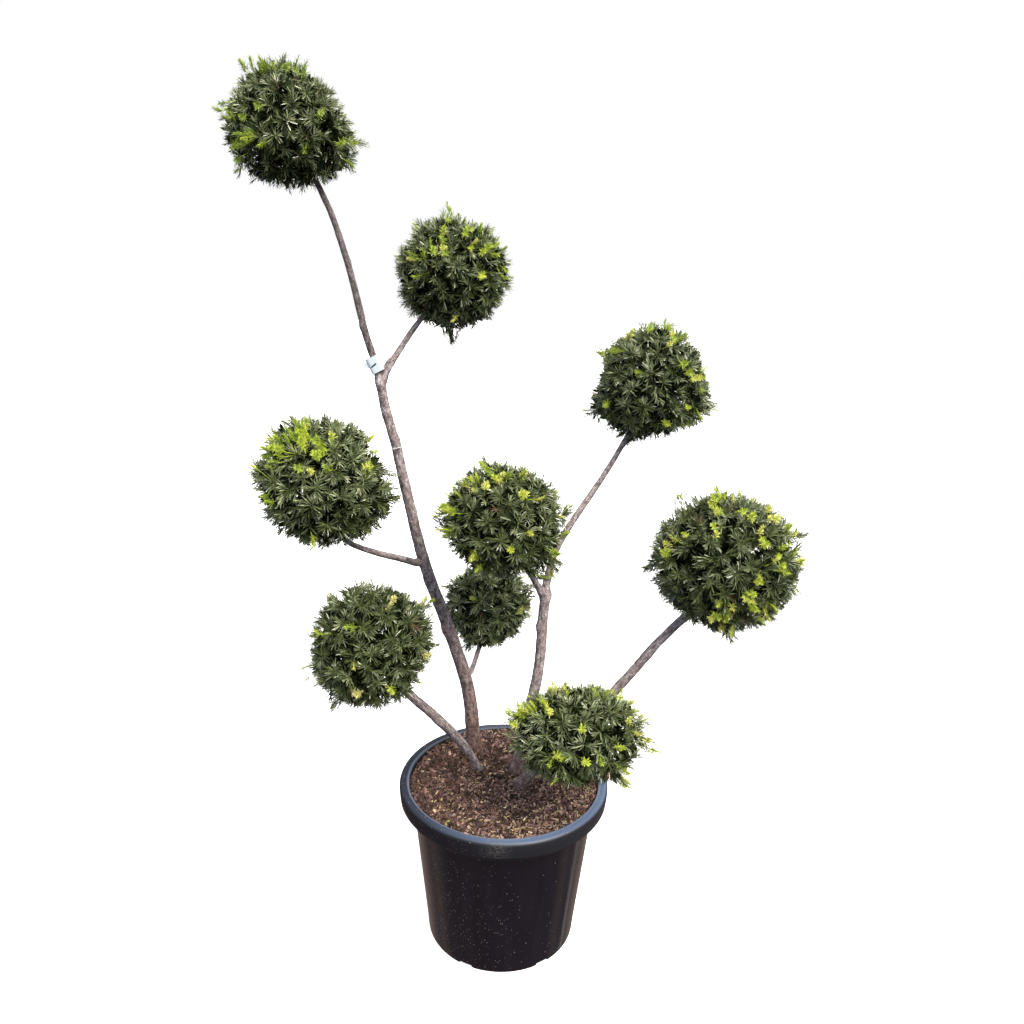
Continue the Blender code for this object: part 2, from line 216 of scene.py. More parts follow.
def clouds(tree, spot, scale, **more):
    """Smooth noise, 0 to 1 and mostly near a half."""
    return add(tree, "ShaderNodeTexNoise", {"Vector": spot, "Scale": scale, **more}).outputs["Fac"]


def stretched(tree, spot, *scale):
    return add(tree, "ShaderNodeMapping", {"Vector": spot, "Scale": scale}).outputs["Vector"]


def relief(tree, height, strength, distance):
    """The normal of a surface that a bump map of this height raises."""
    return add(tree, "ShaderNodeBump", {"Height": height, "Strength": strength,
                                        "Distance": distance}).outputs["Normal"]


def feed(finish, **sockets):
    """Links outputs to inputs of a finish's shader, with _ for a space."""
    shader = finish.node_tree.nodes["Principled BSDF"]
    for key, value in sockets.items():
        finish.node_tree.links.new(value, shader.inputs[key.replace("_", " ")])


# %% [markdown]
# ## The studio
#
# The plant was lit by a bright overcast sky, which is a large soft light from above with less
# coming back from the ground. The world gives that: bluish white overhead, and a yard below the
# horizon whose brown changes as one turns round, with one bright gap between dark things on the
# right. The pot is glossy enough to show that as upright bands. A sun with a very wide disc, high
# on the right, stands for the brightest part of the cloud. The floor and the white surround are
# only seen: they throw no light on the plant.

# %% World, lamp, floor and surround
SKY = ((0.50, "#8f9db2"), (0.56, "#b7cae8"), (0.72, "#dfe8f6"), (1.0, "#f4f8ff"))
# Turning round from straight behind by way of the left, where 0.5 is straight in front.
YARD = ((0.0, "#8b7c76"), (0.12, "#7a6b66"), (0.165, "#5f5354"), (0.20, "#84736d"),
        (0.26, "#5c5254"), (0.34, "#645a5b"), (0.66, "#645a5b"), (0.745, "#5c5254"),
        (0.778, "#80706a"), (0.812, "#453d40"), (0.836, "#453d40"), (0.841, "#d6cdc9"),
        (0.848, "#d6cdc9"), (0.853, "#544946"), (0.88, "#7d6f69"), (1.0, "#8b7c76"))
HORIZON_BLUR = 0.05
SKY_STRENGTH = 1.5
SUN_FROM = Vector((0.55, -0.55, 1.0))
SUN_SPREAD = math.radians(38)
SUN_STRENGTH = 6.6
STAGE_RADIUS = 16.0


def light_world():
    world = bpy.data.worlds.new("overcast")
    bpy.context.scene.world = world
    world.use_nodes = True
    tree = world.node_tree
    direction = add(tree, "ShaderNodeTexCoord").outputs["Generated"]
    axes = add(tree, "ShaderNodeSeparateXYZ", {"Vector": direction}).outputs
    turn = maths(tree, "ARCTAN2", axes["X"], maths(tree, "MULTIPLY", axes["Y"], -1.0))
    yard = ramp(tree, span(tree, turn, -math.pi, math.pi), *YARD)
    sky = ramp(tree, span(tree, axes["Z"], -1.0), *SKY)
    above = span(tree, axes["Z"], -HORIZON_BLUR, HORIZON_BLUR)
    back = tree.nodes["Background"]
    tree.links.new(blend(tree, above, yard, sky), back.inputs["Color"])
    back.inputs["Strength"].default_value = SKY_STRENGTH


def hang_lamp():
    data = bpy.data.lights.new("bright_cloud", "SUN")
    data.angle = SUN_SPREAD
    data.energy = SUN_STRENGTH
    data.color = linear("#fff6e8")[:3]
    lamp = new_object("bright_cloud", data)
    lamp.rotation_euler = (-SUN_FROM).to_track_quat("-Z", "Y").to_euler()


def mesh_of(name, bm):
    """The mesh that a bmesh holds. The bmesh is freed."""
    mesh = bpy.data.meshes.new(name)
    bm.to_mesh(mesh)
    bm.free()
    return mesh


def stage_object(name, bm, finish, casts_shade=True):
    """A part of the studio, which only the camera sees and which lights nothing."""
    mesh = mesh_of(name, bm)
    mesh.materials.append(finish)
    obj = new_object(name, mesh)
    for ray in ("diffuse", "glossy", "transmission", "volume_scatter"):
        setattr(obj, "visible_" + ray, False)
    obj.visible_shadow = casts_shade
    obj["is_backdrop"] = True


def glowing_white(name, glow, paint):
    """A pale finish that gives off some of its own light, so that shade on it stays faint."""
    white = finish_of(name, paint, 1.0, Specular_IOR_Level=0.0, Emission_Strength=glow)
    shader = white.node_tree.nodes["Principled BSDF"]
    shader.inputs["Emission Color"].default_value = (1.0, 1.0, 1.0, 1.0)
    return white


def lay_floor():
    bm = bmesh.new()
    bmesh.ops.create_circle(bm, cap_ends=True, segments=96, radius=STAGE_RADIUS)
    stage_object("floor", bm, glowing_white("lit_white_floor", 0.72, "#e8e8e8"))


def raise_surround():
    """A white shell all round, seen by the camera only. It glows evenly, as blank paper does."""
    bm = bmesh.new()
    bmesh.ops.create_uvsphere(bm, u_segments=64, v_segments=32, radius=STAGE_RADIUS)
    bmesh.ops.reverse_faces(bm, faces=bm.faces)
    stage_object("surround", bm, glowing_white("blank_white", 1.0, "#000000"),
                 casts_shade=False)


light_world()
hang_lamp()
lay_floor()
raise_surround()
bpy.context.scene.view_settings.view_transform = "Standard"

# %% [markdown]
# ## Making pieces
#
# Every piece ends as one plain mesh with its object at the origin. The functions here turn arrays
# of points into meshes, hand a finished piece to the model it belongs to, and run a Geometry
# Nodes tree on a mesh and keep what comes out.

# %% Helpers for pieces
def place(name, mesh, slot, *stands_for):
    """Adds a finished mesh as a piece of the plant. Stands_for names the solids it replaces."""
    mesh.name = name
    obj = new_object(name, mesh)
    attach(obj, "root")
    if stands_for:
        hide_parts(*stands_for)
    print("%-28s %7d triangles" % (name, sum(len(face.vertices) - 2 for face in mesh.polygons)))


def dress(mesh, finish):
    """Gives a mesh one finish, in place of any it had."""
    mesh.materials.clear()
    mesh.materials.append(finish)


def turns(count):
    """Even angles round a circle."""
    return np.arange(count) * math.tau / count


def grid_mesh(name, grid, ring=False):
    """A mesh from rows of points, (rows, steps, 3), each of which joins up with itself.

    The last row of a ring joins up with its first. Otherwise both ends are capped.
    """
    rows, steps = grid.shape[:2]
    number = np.arange(rows * steps).reshape(rows, steps)
    here = np.concatenate([number, number[:1]]) if ring else number
    after = np.roll(here, -1, axis=1)
    faces = np.stack([here[:-1], after[:-1], after[1:], here[1:]], axis=-1).reshape(-1, 4)
    caps = [] if ring else [number[0][::-1].tolist(), number[-1].tolist()]
    mesh = bpy.data.meshes.new(name)
    mesh.from_pydata(grid.reshape(-1, 3).tolist(), [], faces.tolist() + caps)
    mesh.shade_smooth()
    return mesh


def shape_set(name, meshes):
    """A collection of shapes for a tree to copy or a cut to use, kept out of the scene."""
    made = bpy.data.collections.new(name)
    for number, mesh in enumerate(meshes):
        made.objects.link(bpy.data.objects.new("%s_%d" % (name, number), mesh))
    return made


def drop_set(shapes):
    for shape in list(shapes.objects):
        bpy.data.objects.remove(shape)
    bpy.data.collections.remove(shapes)


def new_tree(name, **inputs):
    """A Geometry Nodes tree with named inputs, and the outputs of its Group Input node."""
    kinds = {float: "NodeSocketFloat", int: "NodeSocketInt",
             bpy.types.Collection: "NodeSocketCollection"}
    tree = bpy.data.node_groups.new(name, "GeometryNodeTree")
    tree.interface.new_socket("Geometry", in_out="INPUT", socket_type="NodeSocketGeometry")
    for label, value in inputs.items():
        socket = tree.interface.new_socket(label, in_out="INPUT", socket_type=kinds[type(value)])
        socket.default_value = value
    tree.interface.new_socket("Geometry", in_out="OUTPUT", socket_type="NodeSocketGeometry")
    return tree, tree.nodes.new("NodeGroupInput").outputs


def applied(obj):
    """What an object's modifiers make of it, as a plain mesh. The object is removed."""
    graph = bpy.context.evaluated_depsgraph_get()
    made = bpy.data.meshes.new_from_object(obj.evaluated_get(graph))
    bpy.data.objects.remove(obj)
    return made


def run_tree(tree, mesh, **values):
    """What a tree makes of a mesh, as a plain mesh."""
    source = new_object("source", mesh)
    modifier = source.modifiers.new("tree", "NODES")
    modifier.node_group = tree
    for item in tree.interface.items_tree:
        if item.in_out == "INPUT" and item.name in values:
            modifier[item.identifier] = values[item.name]
    return applied(source)


def carried(tree, label, kind="FLOAT"):
    """An attribute that the mesh brings with it into a tree."""
    return add(tree, "GeometryNodeInputNamedAttribute", {"Name": label},
               data_type=kind).outputs["Attribute"]


def copied_on(tree, points, shapes, which, rotation, scale):
    """Copies of the shapes of a collection, one on each point."""
    shape = add(tree, "GeometryNodeCollectionInfo",
                {"Collection": shapes, "Separate Children": True,
                 "Reset Children": True}).outputs["Instances"]
    return add(tree, "GeometryNodeInstanceOnPoints",
               {"Points": points, "Instance": shape, "Pick Instance": True,
                "Instance Index": which, "Rotation": rotation,
                "Scale": scale}).outputs["Instances"]


def made_real(tree, copies):
    return add(tree, "GeometryNodeRealizeInstances", {"Geometry": copies}).outputs["Geometry"]


def paint_by_tint(tree, geometry, materials):
    """Gives each face the material whose number its 'tint' holds, and ends the tree."""
    tint = carried(tree, "tint", "INT")
    for number, material in enumerate(materials):
        chosen = add(tree, "FunctionNodeCompare", {2: tint, 3: number}, data_type="INT",
                     operation="EQUAL").outputs["Result"]
        geometry = add(tree, "GeometryNodeSetMaterial",
                       {"Geometry": geometry, "Selection": chosen,
                        "Material": material}).outputs["Geometry"]
    add(tree, "NodeGroupOutput", {"Geometry": geometry})


# %% [markdown]
# ## The pot
#
# A large nursery pot is injection moulded in black recycled polypropylene. Its rim is a ledge
# with a shallow groove, which rolls over into a plain collar; under the collar the wall steps in
# to a shoulder and tapers to the foot, where six low openings let water out. The profile is drawn
# with arcs, since moulded edges are never sharp, and turned about Z. Real walls are also a little
# out of round, and that is what breaks their reflections into soft upright bands.

# %% Pot: the sizes, read from the solid
POT_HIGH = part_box("pot")[1]
POT_TOP = POT_HIGH.z
RIM = POT_HIGH.x
COLLAR = 0.041
MOUTH = 0.2285
SHOULDER = 0.2185
SHOULDER_AT = POT_TOP - 0.050
FOOT = 0.180
WALL = 0.003
FLOOR_THICK = 0.004
TURN_STEPS = 216
SEAM_AT = math.radians(187)
FIRST_DRAIN = math.radians(-56)
DRAINS = 6
SHARP_FROM = math.radians(40)


def arc(radius_at, height_at, size, start, end, steps=5):
    """Points round an arc of the profile, with angles in degrees from straight out."""
    return [(radius_at + size * math.cos(math.radians(start + (end - start) * step / steps)),
             height_at + size * math.sin(math.radians(start + (end - start) * step / steps)))
            for step in range(steps + 1)]


def pot_profile():
    """From the middle underneath up the outside, over the rim, and down the inside."""
    inner = MOUTH - WALL
    points = [(0.0005, FLOOR_THICK), (FOOT - WALL - 0.012, FLOOR_THICK)]
    points += arc(FOOT - WALL - 0.008, FLOOR_THICK + 0.008, 0.008, -90, -4)
    points += [(SHOULDER - WALL, SHOULDER_AT), (inner - 0.002, SHOULDER_AT + 0.005)]
    points += arc(inner + 0.0065, POT_TOP - 0.0083, 0.0065, 180, 105)
    for out, dip in ((0.0050, 0.0012), (0.0060, 0.0018), (0.0070, 0.0008), (0.0086, 0.0010),
                     (0.0096, 0.0015), (0.0106, 0.0007), (0.0125, 0.0006), (0.0145, 0.0007)):
        points.append((MOUTH + out, POT_TOP - dip))
    points += arc(RIM - 0.0095, POT_TOP - 0.0102, 0.0095, 80, 4, 8)
    points += [(RIM - 0.0008, POT_TOP - 0.024)]
    points += arc(RIM - 0.0035, POT_TOP - COLLAR + 0.001, 0.001, 0, -180, 4)
    points += arc(RIM - 0.0125, POT_TOP - 0.0125, 0.0095, 4, 90, 5)
    points += arc(MOUTH + 0.0045, POT_TOP - WALL - 0.0045, 0.0045, 90, 180, 3)
    points += [(MOUTH - 0.001, SHOULDER_AT + 0.008)]
    points += arc(SHOULDER - 0.0015, SHOULDER_AT + 0.0005, 0.003, 60, 0, 3)
    points += [(SHOULDER + 0.0006, SHOULDER_AT - 0.006), (SHOULDER - 0.0006, SHOULDER_AT - 0.0075)]
    # A second fine step runs a finger's breadth lower.
    slope = SHOULDER - 0.0006 - FOOT - 0.003
    points += [(FOOT + 0.003 + (slope - 0.0008 * (share > 0.036)) * (1 - share),
                0.030 + (SHOULDER_AT - 0.038) * (1 - share))
               for share in (0.008, 0.033, 0.038, 0.050, 0.25, 0.5, 0.75, 1.0)]
    points += arc(FOOT - 0.0045, 0.0055, 0.0055, 0, -90, 4)
    points += [(FOOT - 0.022, 0.0), (FOOT - 0.024, 0.0018), (0.0005, 0.0018)]
    return np.array(points[::-1])


def make_pot_mesh():
    profile = pot_profile()
    turn = turns(TURN_STEPS)
    radius = np.repeat(profile[:, :1], TURN_STEPS, axis=1)
    height = np.repeat(profile[:, 1:], TURN_STEPS, axis=1)
    # Out of round by a third of a millimetre, most at mid height where nothing stiffens the wall.
    slack = np.clip(np.sin(height / POT_TOP * math.pi), 0, 1) * (radius > FOOT - 0.02)
    radius = radius + slack * (0.0004 * np.sin(5 * turn + 0.7) + 0.00025 * np.sin(11 * turn + 2.0))
    # The weld line where the plastic met in the mould crosses the rim as a small nick.
    off = np.abs((turn - SEAM_AT + math.pi) % math.tau - math.pi) * RIM
    on_rim = (height > POT_TOP - 0.014) & (radius > MOUTH)
    height = height - on_rim * 0.0016 * np.exp(-(off / 0.0035) ** 2)
    return grid_mesh("pot", np.stack([radius * np.cos(turn), radius * np.sin(turn), height],
                                     axis=-1))


def block(size):
    """A bmesh of one block about the origin."""
    bm = bmesh.new()
    bmesh.ops.create_cube(bm, size=1.0)
    bmesh.ops.scale(bm, verts=bm.verts, vec=size)
    return bm


def turn_block(bm, angle, axis):
    bmesh.ops.rotate(bm, verts=bm.verts, cent=(0, 0, 0), matrix=Matrix.Rotation(angle, 3, axis))


def notch_mesh(number):
    """One drain opening: a low block with a rounded top, set across the bottom corner."""
    wide, tall, deep = 0.040, 0.018, 0.026
    bm = block((deep, wide, tall))
    outward = [edge for edge in bm.edges if abs(edge.verts[0].co.x - edge.verts[1].co.x) > 0.001]
    bmesh.ops.bevel(bm, geom=outward, offset=0.005, segments=3, affect="EDGES")
    angle = FIRST_DRAIN + math.tau * number / DRAINS
    turn_block(bm, angle, "Z")
    reach = FOOT - 0.007
    bmesh.ops.translate(bm, verts=bm.verts,
                        vec=(reach * math.cos(angle), reach * math.sin(angle), 0.0))
    return mesh_of("notch", bm)


def cut_away(mesh, tools):
    """The mesh with every tool taken out of it."""
    body = new_object("body", mesh)
    cutters = shape_set("cutter", tools)
    boolean = body.modifiers.new("cut", "BOOLEAN")
    boolean.operand_type = "COLLECTION"
    boolean.collection = cutters
    boolean.operation = "DIFFERENCE"
    made = applied(body)
    drop_set(cutters)
    return made


# %% [markdown]
# The plastic is black all through, with a low sheen that weather has dulled. Splashed compost has
# dried on it as pale specks, thickest low on the left. A bluish film on the ledge is dust together
# with a painted reflection of the sky, and the collar is painted a little lighter on its right,
# towards the light. The specks are drawn about 2 mm wide, a little over life, so that they still
# show from two metres.

# %% Pot: moulded black polypropylene
def black_plastic():
    made = finish_of("moulded_black_polypropylene", "#1a171e", 0.30, Specular_IOR_Level=0.5)
    tree = made.node_tree
    spot = add(tree, "ShaderNodeTexCoord").outputs["Object"]
    axes = add(tree, "ShaderNodeSeparateXYZ", {"Vector": spot}).outputs
    # Dried specks: small round cells, kept where a drifting mask and the splash line allow.
    cells = add(tree, "ShaderNodeTexVoronoi", {"Vector": spot, "Scale": 230.0}).outputs
    chance = add(tree, "ShaderNodeSeparateColor", {"Color": cells["Color"]}).outputs
    wide = span(tree, chance["Green"], start=0.13, end=0.36)
    dot = span(tree, cells["Distance"], 0.05, wide, 0.9, 0.0)
    leftward = span(tree, axes["X"], -0.15, 0.07, 1.0, 0.06)
    low = span(tree, axes["Z"], 0.02, 0.37, 1.5, 0.40)
    splashed = product(tree, leftward, low, clouds(tree, spot, 9.0))
    speck = product(tree, dot, maths(tree, "LESS_THAN", chance["Red"], splashed))
    # A rubbed patch on the front of the collar, and faint upright water marks down the wall.
    off = add(tree, "ShaderNodeVectorMath", {0: spot, 1: (-0.014, -RIM, POT_TOP - 0.024)},
              operation="DISTANCE").outputs["Value"]
    rubbed = span(tree, clouds(tree, spot, 260.0, Detail=5.0, Distortion=1.5), 0.50, 0.66)
    scuff = product(tree, span(tree, off, 0.010, 0.042, 0.75, 0.0), rubbed)
    marks = clouds(tree, stretched(tree, spot, 42.0, 42.0, 2.2), 1.0, Detail=4.0)
    # The collar has faded to slate. The slate is painted strongest on the right, towards the light,
    # and weakest on the left, as painted shade. The lip next to the compost has been rubbed pale
    # all round.
    on_collar = span(tree, axes["Z"], POT_TOP - COLLAR - 0.004, POT_TOP - COLLAR + 0.001)
    rightward = span(tree, axes["X"], -RIM, 0.04, 0.12)
    flat = add(tree, "ShaderNodeVectorMath", {0: spot, 1: (1.0, 1.0, 0.0)},
               operation="MULTIPLY").outputs["Vector"]
    from_middle = add(tree, "ShaderNodeVectorMath", {0: flat}, operation="LENGTH").outputs["Value"]
    lip = span(tree, from_middle, MOUTH + 0.001, MOUTH + 0.006, 1.0, 0.0)
    weather = product(tree, on_collar, maths(tree, "MAXIMUM", rightward, lip))
    # A bluish film lies on whatever faces up: partly dust, and partly a painted reflection of the
    # sky. It is strongest at the front, and held back on the left, away from the light, as painted
    # shade.
    facing = add(tree, "ShaderNodeNewGeometry").outputs["Normal"]
    upward = add(tree, "ShaderNodeSeparateXYZ", {"Vector": facing}).outputs["Z"]
    on_top = span(tree, upward, 0.52, 0.99, 0.0, 0.85)
    frontward = span(tree, axes["Y"], -0.08, 0.16, 1.0, 0.35)
    left_in_shade = span(tree, axes["X"], -0.20, -0.04, 0.45)
    dust_and_sky_sheen = product(tree, on_top, frontward, left_in_shade)
    colour = ramp(tree, marks, (0.30, "#0a0910"), (0.72, "#151219"))
    # The bluish film is dust with a painted sky reflection, and the pale grey on the lip is wear
    # with a painted highlight.
    for share, paint in ((weather, "#16181d"), (product(tree, dust_and_sky_sheen, weather), "#546480"),
                         (product(tree, lip, dust_and_sky_sheen, 0.6), "#8a94a5"), (scuff, "#6b645e"),
                         (speck, "#959190")):
        colour = blend(tree, share, colour, paint)
    gloss = span(tree, marks, start=0.10, end=0.26)
    # The collar's shine is turned down towards its left, away from the light, to keep that side
    # dark.
    duller_on_left = maths(tree, "SUBTRACT", on_collar, weather)
    feed(made, Base_Color=colour,
         Roughness=maths(tree, "MULTIPLY_ADD", on_collar, 0.32, gloss),
         Specular_IOR_Level=span(tree, duller_on_left, start=0.5, end=0.15),
         Normal=relief(tree, clouds(tree, spot, 420.0, Detail=2.0), 0.06, 0.0008))
    return made


pot_mesh = cut_away(make_pot_mesh(), [notch_mesh(number) for number in range(DRAINS)])
dress(pot_mesh, black_plastic())
pot_mesh.shade_smooth()
pot_mesh.set_sharp_from_angle(angle=SHARP_FROM)
place("pot_shell", pot_mesh, "pot_plastic", "pot")

# %% [markdown]
# ## The bed of compost
#
# The pot is filled with a mix of composted bark, wood fibre and peat. A closed plug fills the pot
# from its floor up, so that it also shows dark behind the drain openings, and its top is worked
# into lumps by noise: a few centimetres wide for the clods, a few millimetres for the crumbs. It
# mounds up where the stems go in, leaves a hollow beside one of them, and sinks to the wall.

# %% Compost: sizes and the height of the surface
GROUND = 0.398
BED_RADIUS = MOUTH - WALL - 0.0006
BED_STEPS = 150
BED_RINGS = 46
STEMS = ("stem_left", "stem_front", "stem_middle", "stem_right")
MOUND = (-0.03, -0.01)
HOLLOW = Vector((-0.068, -0.062, 0.0))    # where water has washed the bed away beside a stem


def foot_of(stem):
    """Where a stem enters the compost, from the lowest points of its solid."""
    points = np.array([vertex.co for vertex in frame["nodes"][stem].data.vertices])
    return points[points[:, 2] < points[:, 2].min() + 0.012].mean(axis=0)


FEET = [foot_of(stem) for stem in STEMS]


def hills(spot, size, seed, octaves=3):
    """Smooth noise about -1 to 1, whose lumps are about the given size across."""
    place_there = Vector(spot) / size + Vector((seed, 2 * seed, -seed))
    return noise.fractal(place_there, 1.0, 2.0, octaves)


def near(x, y, spot, size):
    """1 at a spot on the bed, and falling to nothing away from it."""
    return math.exp(-((x - spot[0]) ** 2 + (y - spot[1]) ** 2) / size)


def ground_height(x, y):
    """How high the compost stands at a point."""
    out = math.hypot(x, y) / BED_RADIUS
    mound = 0.007 * near(x, y, MOUND, 0.006)
    hollow = 0.013 * near(x, y, HOLLOW, 0.0003)
    feet = 0.013 * max(near(x, y, foot, 0.0011) for foot in FEET)
    sunk = 0.003 * max(0.0, (out - 0.86) / 0.14) ** 2
    clods = 0.0036 * hills((x, y, 0.0), 0.045, 3.1) + 0.0026 * hills((x, y, 0.0), 0.014, 7.7)
    back = 0.010 * max(0.0, y / BED_RADIUS) ** 1.5
    return GROUND + 0.003 + 0.6 * mound + back + feet - hollow - sunk + clods


def make_bed_mesh():
    foot_inner = FOOT - WALL - 0.001
    rows = [(0.0005, 0.0046), (foot_inner - 0.012, 0.0046), (foot_inner - 0.001, 0.016),
            (SHOULDER - WALL - 0.0012, SHOULDER_AT)]
    rows += [(BED_RADIUS * (1 - ring / (BED_RINGS + 0.2)), None) for ring in range(BED_RINGS + 1)]
    grid = []
    for radius, height in rows:
        spots = [(radius * math.cos(angle), radius * math.sin(angle))
                 for angle in turns(BED_STEPS)]
        grid.append([(x, y, ground_height(x, y) if height is None else height)
                     for x, y in spots])
    return grid_mesh("compost_bed", np.array(grid))


# %% Compost: dark peat between the pieces
def dark_peat():
    made = finish_of("damp_dark_peat", "#241a16", 0.95, Specular_IOR_Level=0.2)
    tree = made.node_tree
    spot = add(tree, "ShaderNodeTexCoord").outputs["Object"]
    crumbs = clouds(tree, spot, 330.0, Detail=5.0, Roughness=0.7)
    feed(made, Normal=relief(tree, crumbs, 0.9, 0.0025),
         Base_Color=ramp(tree, crumbs, (0.35, "#150f0c"), (0.52, "#33251f"), (0.68, "#5a463a")))
    return made


bed_mesh = make_bed_mesh()
dress(bed_mesh, dark_peat())
place("compost_bed", bed_mesh, "compost", "compost")

# %% [markdown]
# ## Chips and fibres
#
# What the eye sees of the bed is thousands of small pieces: bark chips, split fibres, crumbs and
# some fresh straw. Six shapes of a dozen faces each are enough when every copy is turned and
# sized differently. The points carry what each copy needs as attributes, and one small tree
# scatters them, so the same tree can later serve anything else that is strewn about.

# %% Scatter: the tree that strews copies on points
def scatter_tree(name, shapes, materials):
    """Puts a copy of the 'kind'th shape on each point, turned by 'turn' and scaled by 'scale'."""
    tree, given = new_tree(name, shapes=shapes)
    points = add(tree, "GeometryNodeMeshToPoints", {"Mesh": given["Geometry"]}).outputs["Points"]
    turned = add(tree, "FunctionNodeEulerToRotation",
                 {"Euler": carried(tree, "turn", "FLOAT_VECTOR")}).outputs["Rotation"]
    strewn = copied_on(tree, points, given["shapes"], carried(tree, "kind", "INT"), turned,
                       carried(tree, "scale", "FLOAT_VECTOR"))
    paint_by_tint(tree, made_real(tree, strewn), materials)
    return tree


def carry(mesh, label, values):
    """Gives the points of a mesh an attribute: vectors, whole numbers or plain numbers."""
    values = np.asarray(values)
    kind = "FLOAT_VECTOR" if values.ndim == 2 else "INT" if values.dtype.kind == "i" else "FLOAT"
    layer = mesh.attributes.new(label, kind, "POINT")
    layer.data.foreach_set("vector" if values.ndim == 2 else "value", values.ravel())


def point_mesh(name, spots, **values):
    """A mesh of loose points that carries one attribute for each named array."""
    mesh = bpy.data.meshes.new(name)
    mesh.from_pydata(np.asarray(spots).tolist(), [], [])
    for label, array in values.items():
        carry(mesh, label, array)
    return mesh


# %% Chips: six shapes, each one unit long
def chip_mesh(rng, wide, thick, bend):
    """A blocky chip, or a bent fibre of three sides where bend is given."""
    rows = []
    stations = ((-0.5, 0.5), (0.0, 1.0), (0.5, 0.4)) if bend else ((-0.5, 0.9), (0.5, 0.6))
    for along, share in stations:
        lift = bend * (0.25 - along * along)
        skew = rng.uniform(-0.2, 0.2) * wide
        half = wide * share * rng.uniform(0.8, 1.1) / 2
        row = [(along, half + skew, lift - thick / 2), (along, -half + skew, lift - thick / 2)]
        row += [(along, skew - half * 0.7, lift + thick / 2)]
        if not bend:
            row += [(along, skew + half * 0.8, lift + thick / 2)]
        rows.append(row)
    mesh = grid_mesh("chip", np.array(rows)[:, ::-1])
    mesh.shade_flat()
    return mesh


CHIP_PROPORTIONS = ((0.55, 0.22, 0.0), (0.38, 0.20, 0.0), (0.80, 0.40, 0.0), (0.16, 0.12, 0.25),
                    (0.09, 0.07, -0.35), (0.70, 0.15, 0.0))
FIBRES = (3, 4)            # which of those are fibres
CHIP_COLOURS = ("#2c201b", "#45332c", "#5d463e", "#765b51", "#8d7167", "#665357", "#a48a7a",
                "#b0996f", "#cdb98a", "#8f8c4c", "#e6dab4")
CHIP_COUNT = 13000
CAUGHT_IN_A_DRAIN = 9
BANKED_AT_A_FOOT = 110
chips_rng = np.random.default_rng(41)


def bark_chip_finishes():
    """Composted bark and fibre, from near black through red-brown to fresh straw."""
    return [finish_of("composted_bark_%d" % number, colour, 0.9, Specular_IOR_Level=0.25)
            for number, colour in enumerate(CHIP_COLOURS)]


def chip_points(rng):
    """Chips lie at random over the bed, more of the straw and moss towards the front."""
    order = np.arange(CHIP_COUNT)

    def chance():
        return rng.random(CHIP_COUNT)

    def between(low, high):
        return rng.uniform(low, high, CHIP_COUNT)

    def about_nil(size):
        return rng.normal(0, size, CHIP_COUNT)

    radius = BED_RADIUS * 0.985 * np.sqrt(chance())
    angle = chance() * math.tau
    x, y = radius * np.cos(angle), radius * np.sin(angle)
    lift = between(-0.0012, 0.0030)
    # Some are banked up against the feet of the stems.
    banked = order < len(FEET) * BANKED_AT_A_FOOT
    foot = np.array(FEET)[order % len(FEET)]
    x = np.where(banked, foot[:, 0] + about_nil(0.010), x)
    y = np.where(banked, foot[:, 1] + about_nil(0.010), y)
    lift = np.where(banked, between(0.0, 0.006), lift)
    z = np.array([ground_height(*spot) for spot in zip(x, y)]) + lift
    front = np.clip((0.10 - y) / 0.30, 0, 1)
    left = np.clip(-x / 0.22, 0, 1)
    pale = chance() < (0.07 + 0.22 * front) * (1 - 0.75 * left)
    dark = rng.choice(7, CHIP_COUNT, p=(0.15, 0.20, 0.20, 0.16, 0.12, 0.09, 0.08))
    # Towards the left, most chips are dealt the darker colours.
    dark = np.where(chance() < 0.9 * left, np.minimum(dark, 2), dark)
    damp = np.array([hills((*spot, 0.0), 0.040, 5.5) for spot in zip(x, y)]) > 0.20
    dark = np.where(damp & (chance() < 0.7), np.minimum(dark, 1), dark)
    light = rng.choice((6, 7, 8, 9, 10), CHIP_COUNT, p=(0.36, 0.34, 0.12, 0.10, 0.08))
    # Deep pieces are the dark ones: light has bleached only what lies on top.
    tint = np.where(pale & (lift > 0.0002), light, dark)
    # Most of the pale pieces are fibres, and only dark chips are large.
    kind = rng.choice(len(CHIP_PROPORTIONS), CHIP_COUNT, p=(0.20, 0.20, 0.10, 0.24, 0.16, 0.10))
    kind = np.where((tint >= 7) & (chance() < 0.85), rng.choice(FIBRES, CHIP_COUNT), kind)
    long = between(0.0045, 0.0120) * np.where(kind >= FIBRES[0], 1.4, 1.0)
    long = np.where(kind == 2, long * 0.75, long)
    long = np.where((chance() < 0.07) & (tint < 6), long * 1.5, long)
    turn = np.stack([about_nil(0.6), about_nil(0.5), chance() * math.tau], axis=1)
    # The last of them hang in the drain openings instead, as small flat fibres.
    caught = order >= CHIP_COUNT - DRAINS * CAUGHT_IN_A_DRAIN
    hole = FIRST_DRAIN + math.tau * (order % DRAINS) / DRAINS
    angle = np.where(caught, hole + between(-0.09, 0.09), angle)
    radius = FOOT - between(0.003, 0.006)
    x, y = np.where(caught, (radius * np.cos(angle), radius * np.sin(angle)), (x, y))
    z = np.where(caught, between(0.0045, 0.0085), z)
    kind = np.where(caught, FIBRES[0], kind)
    long = np.where(caught, 0.6 * long, long)
    turn[caught, :2] *= 0.3
    tint = np.where(caught, rng.choice((3, 5, 6, 7), CHIP_COUNT), tint)
    return point_mesh("chip_points", np.stack([x, y, z], axis=1), tint=tint.astype(int),
                      kind=kind.astype(int), turn=turn, scale=np.repeat(long[:, None], 3, axis=1))


chip_shapes = shape_set("chip", [chip_mesh(chips_rng, *sizes) for sizes in CHIP_PROPORTIONS])
chips_tree = scatter_tree("strew_chips", chip_shapes, bark_chip_finishes())
place("compost_chips", run_tree(chips_tree, chip_points(chips_rng)), "compost")
drop_set(chip_shapes)

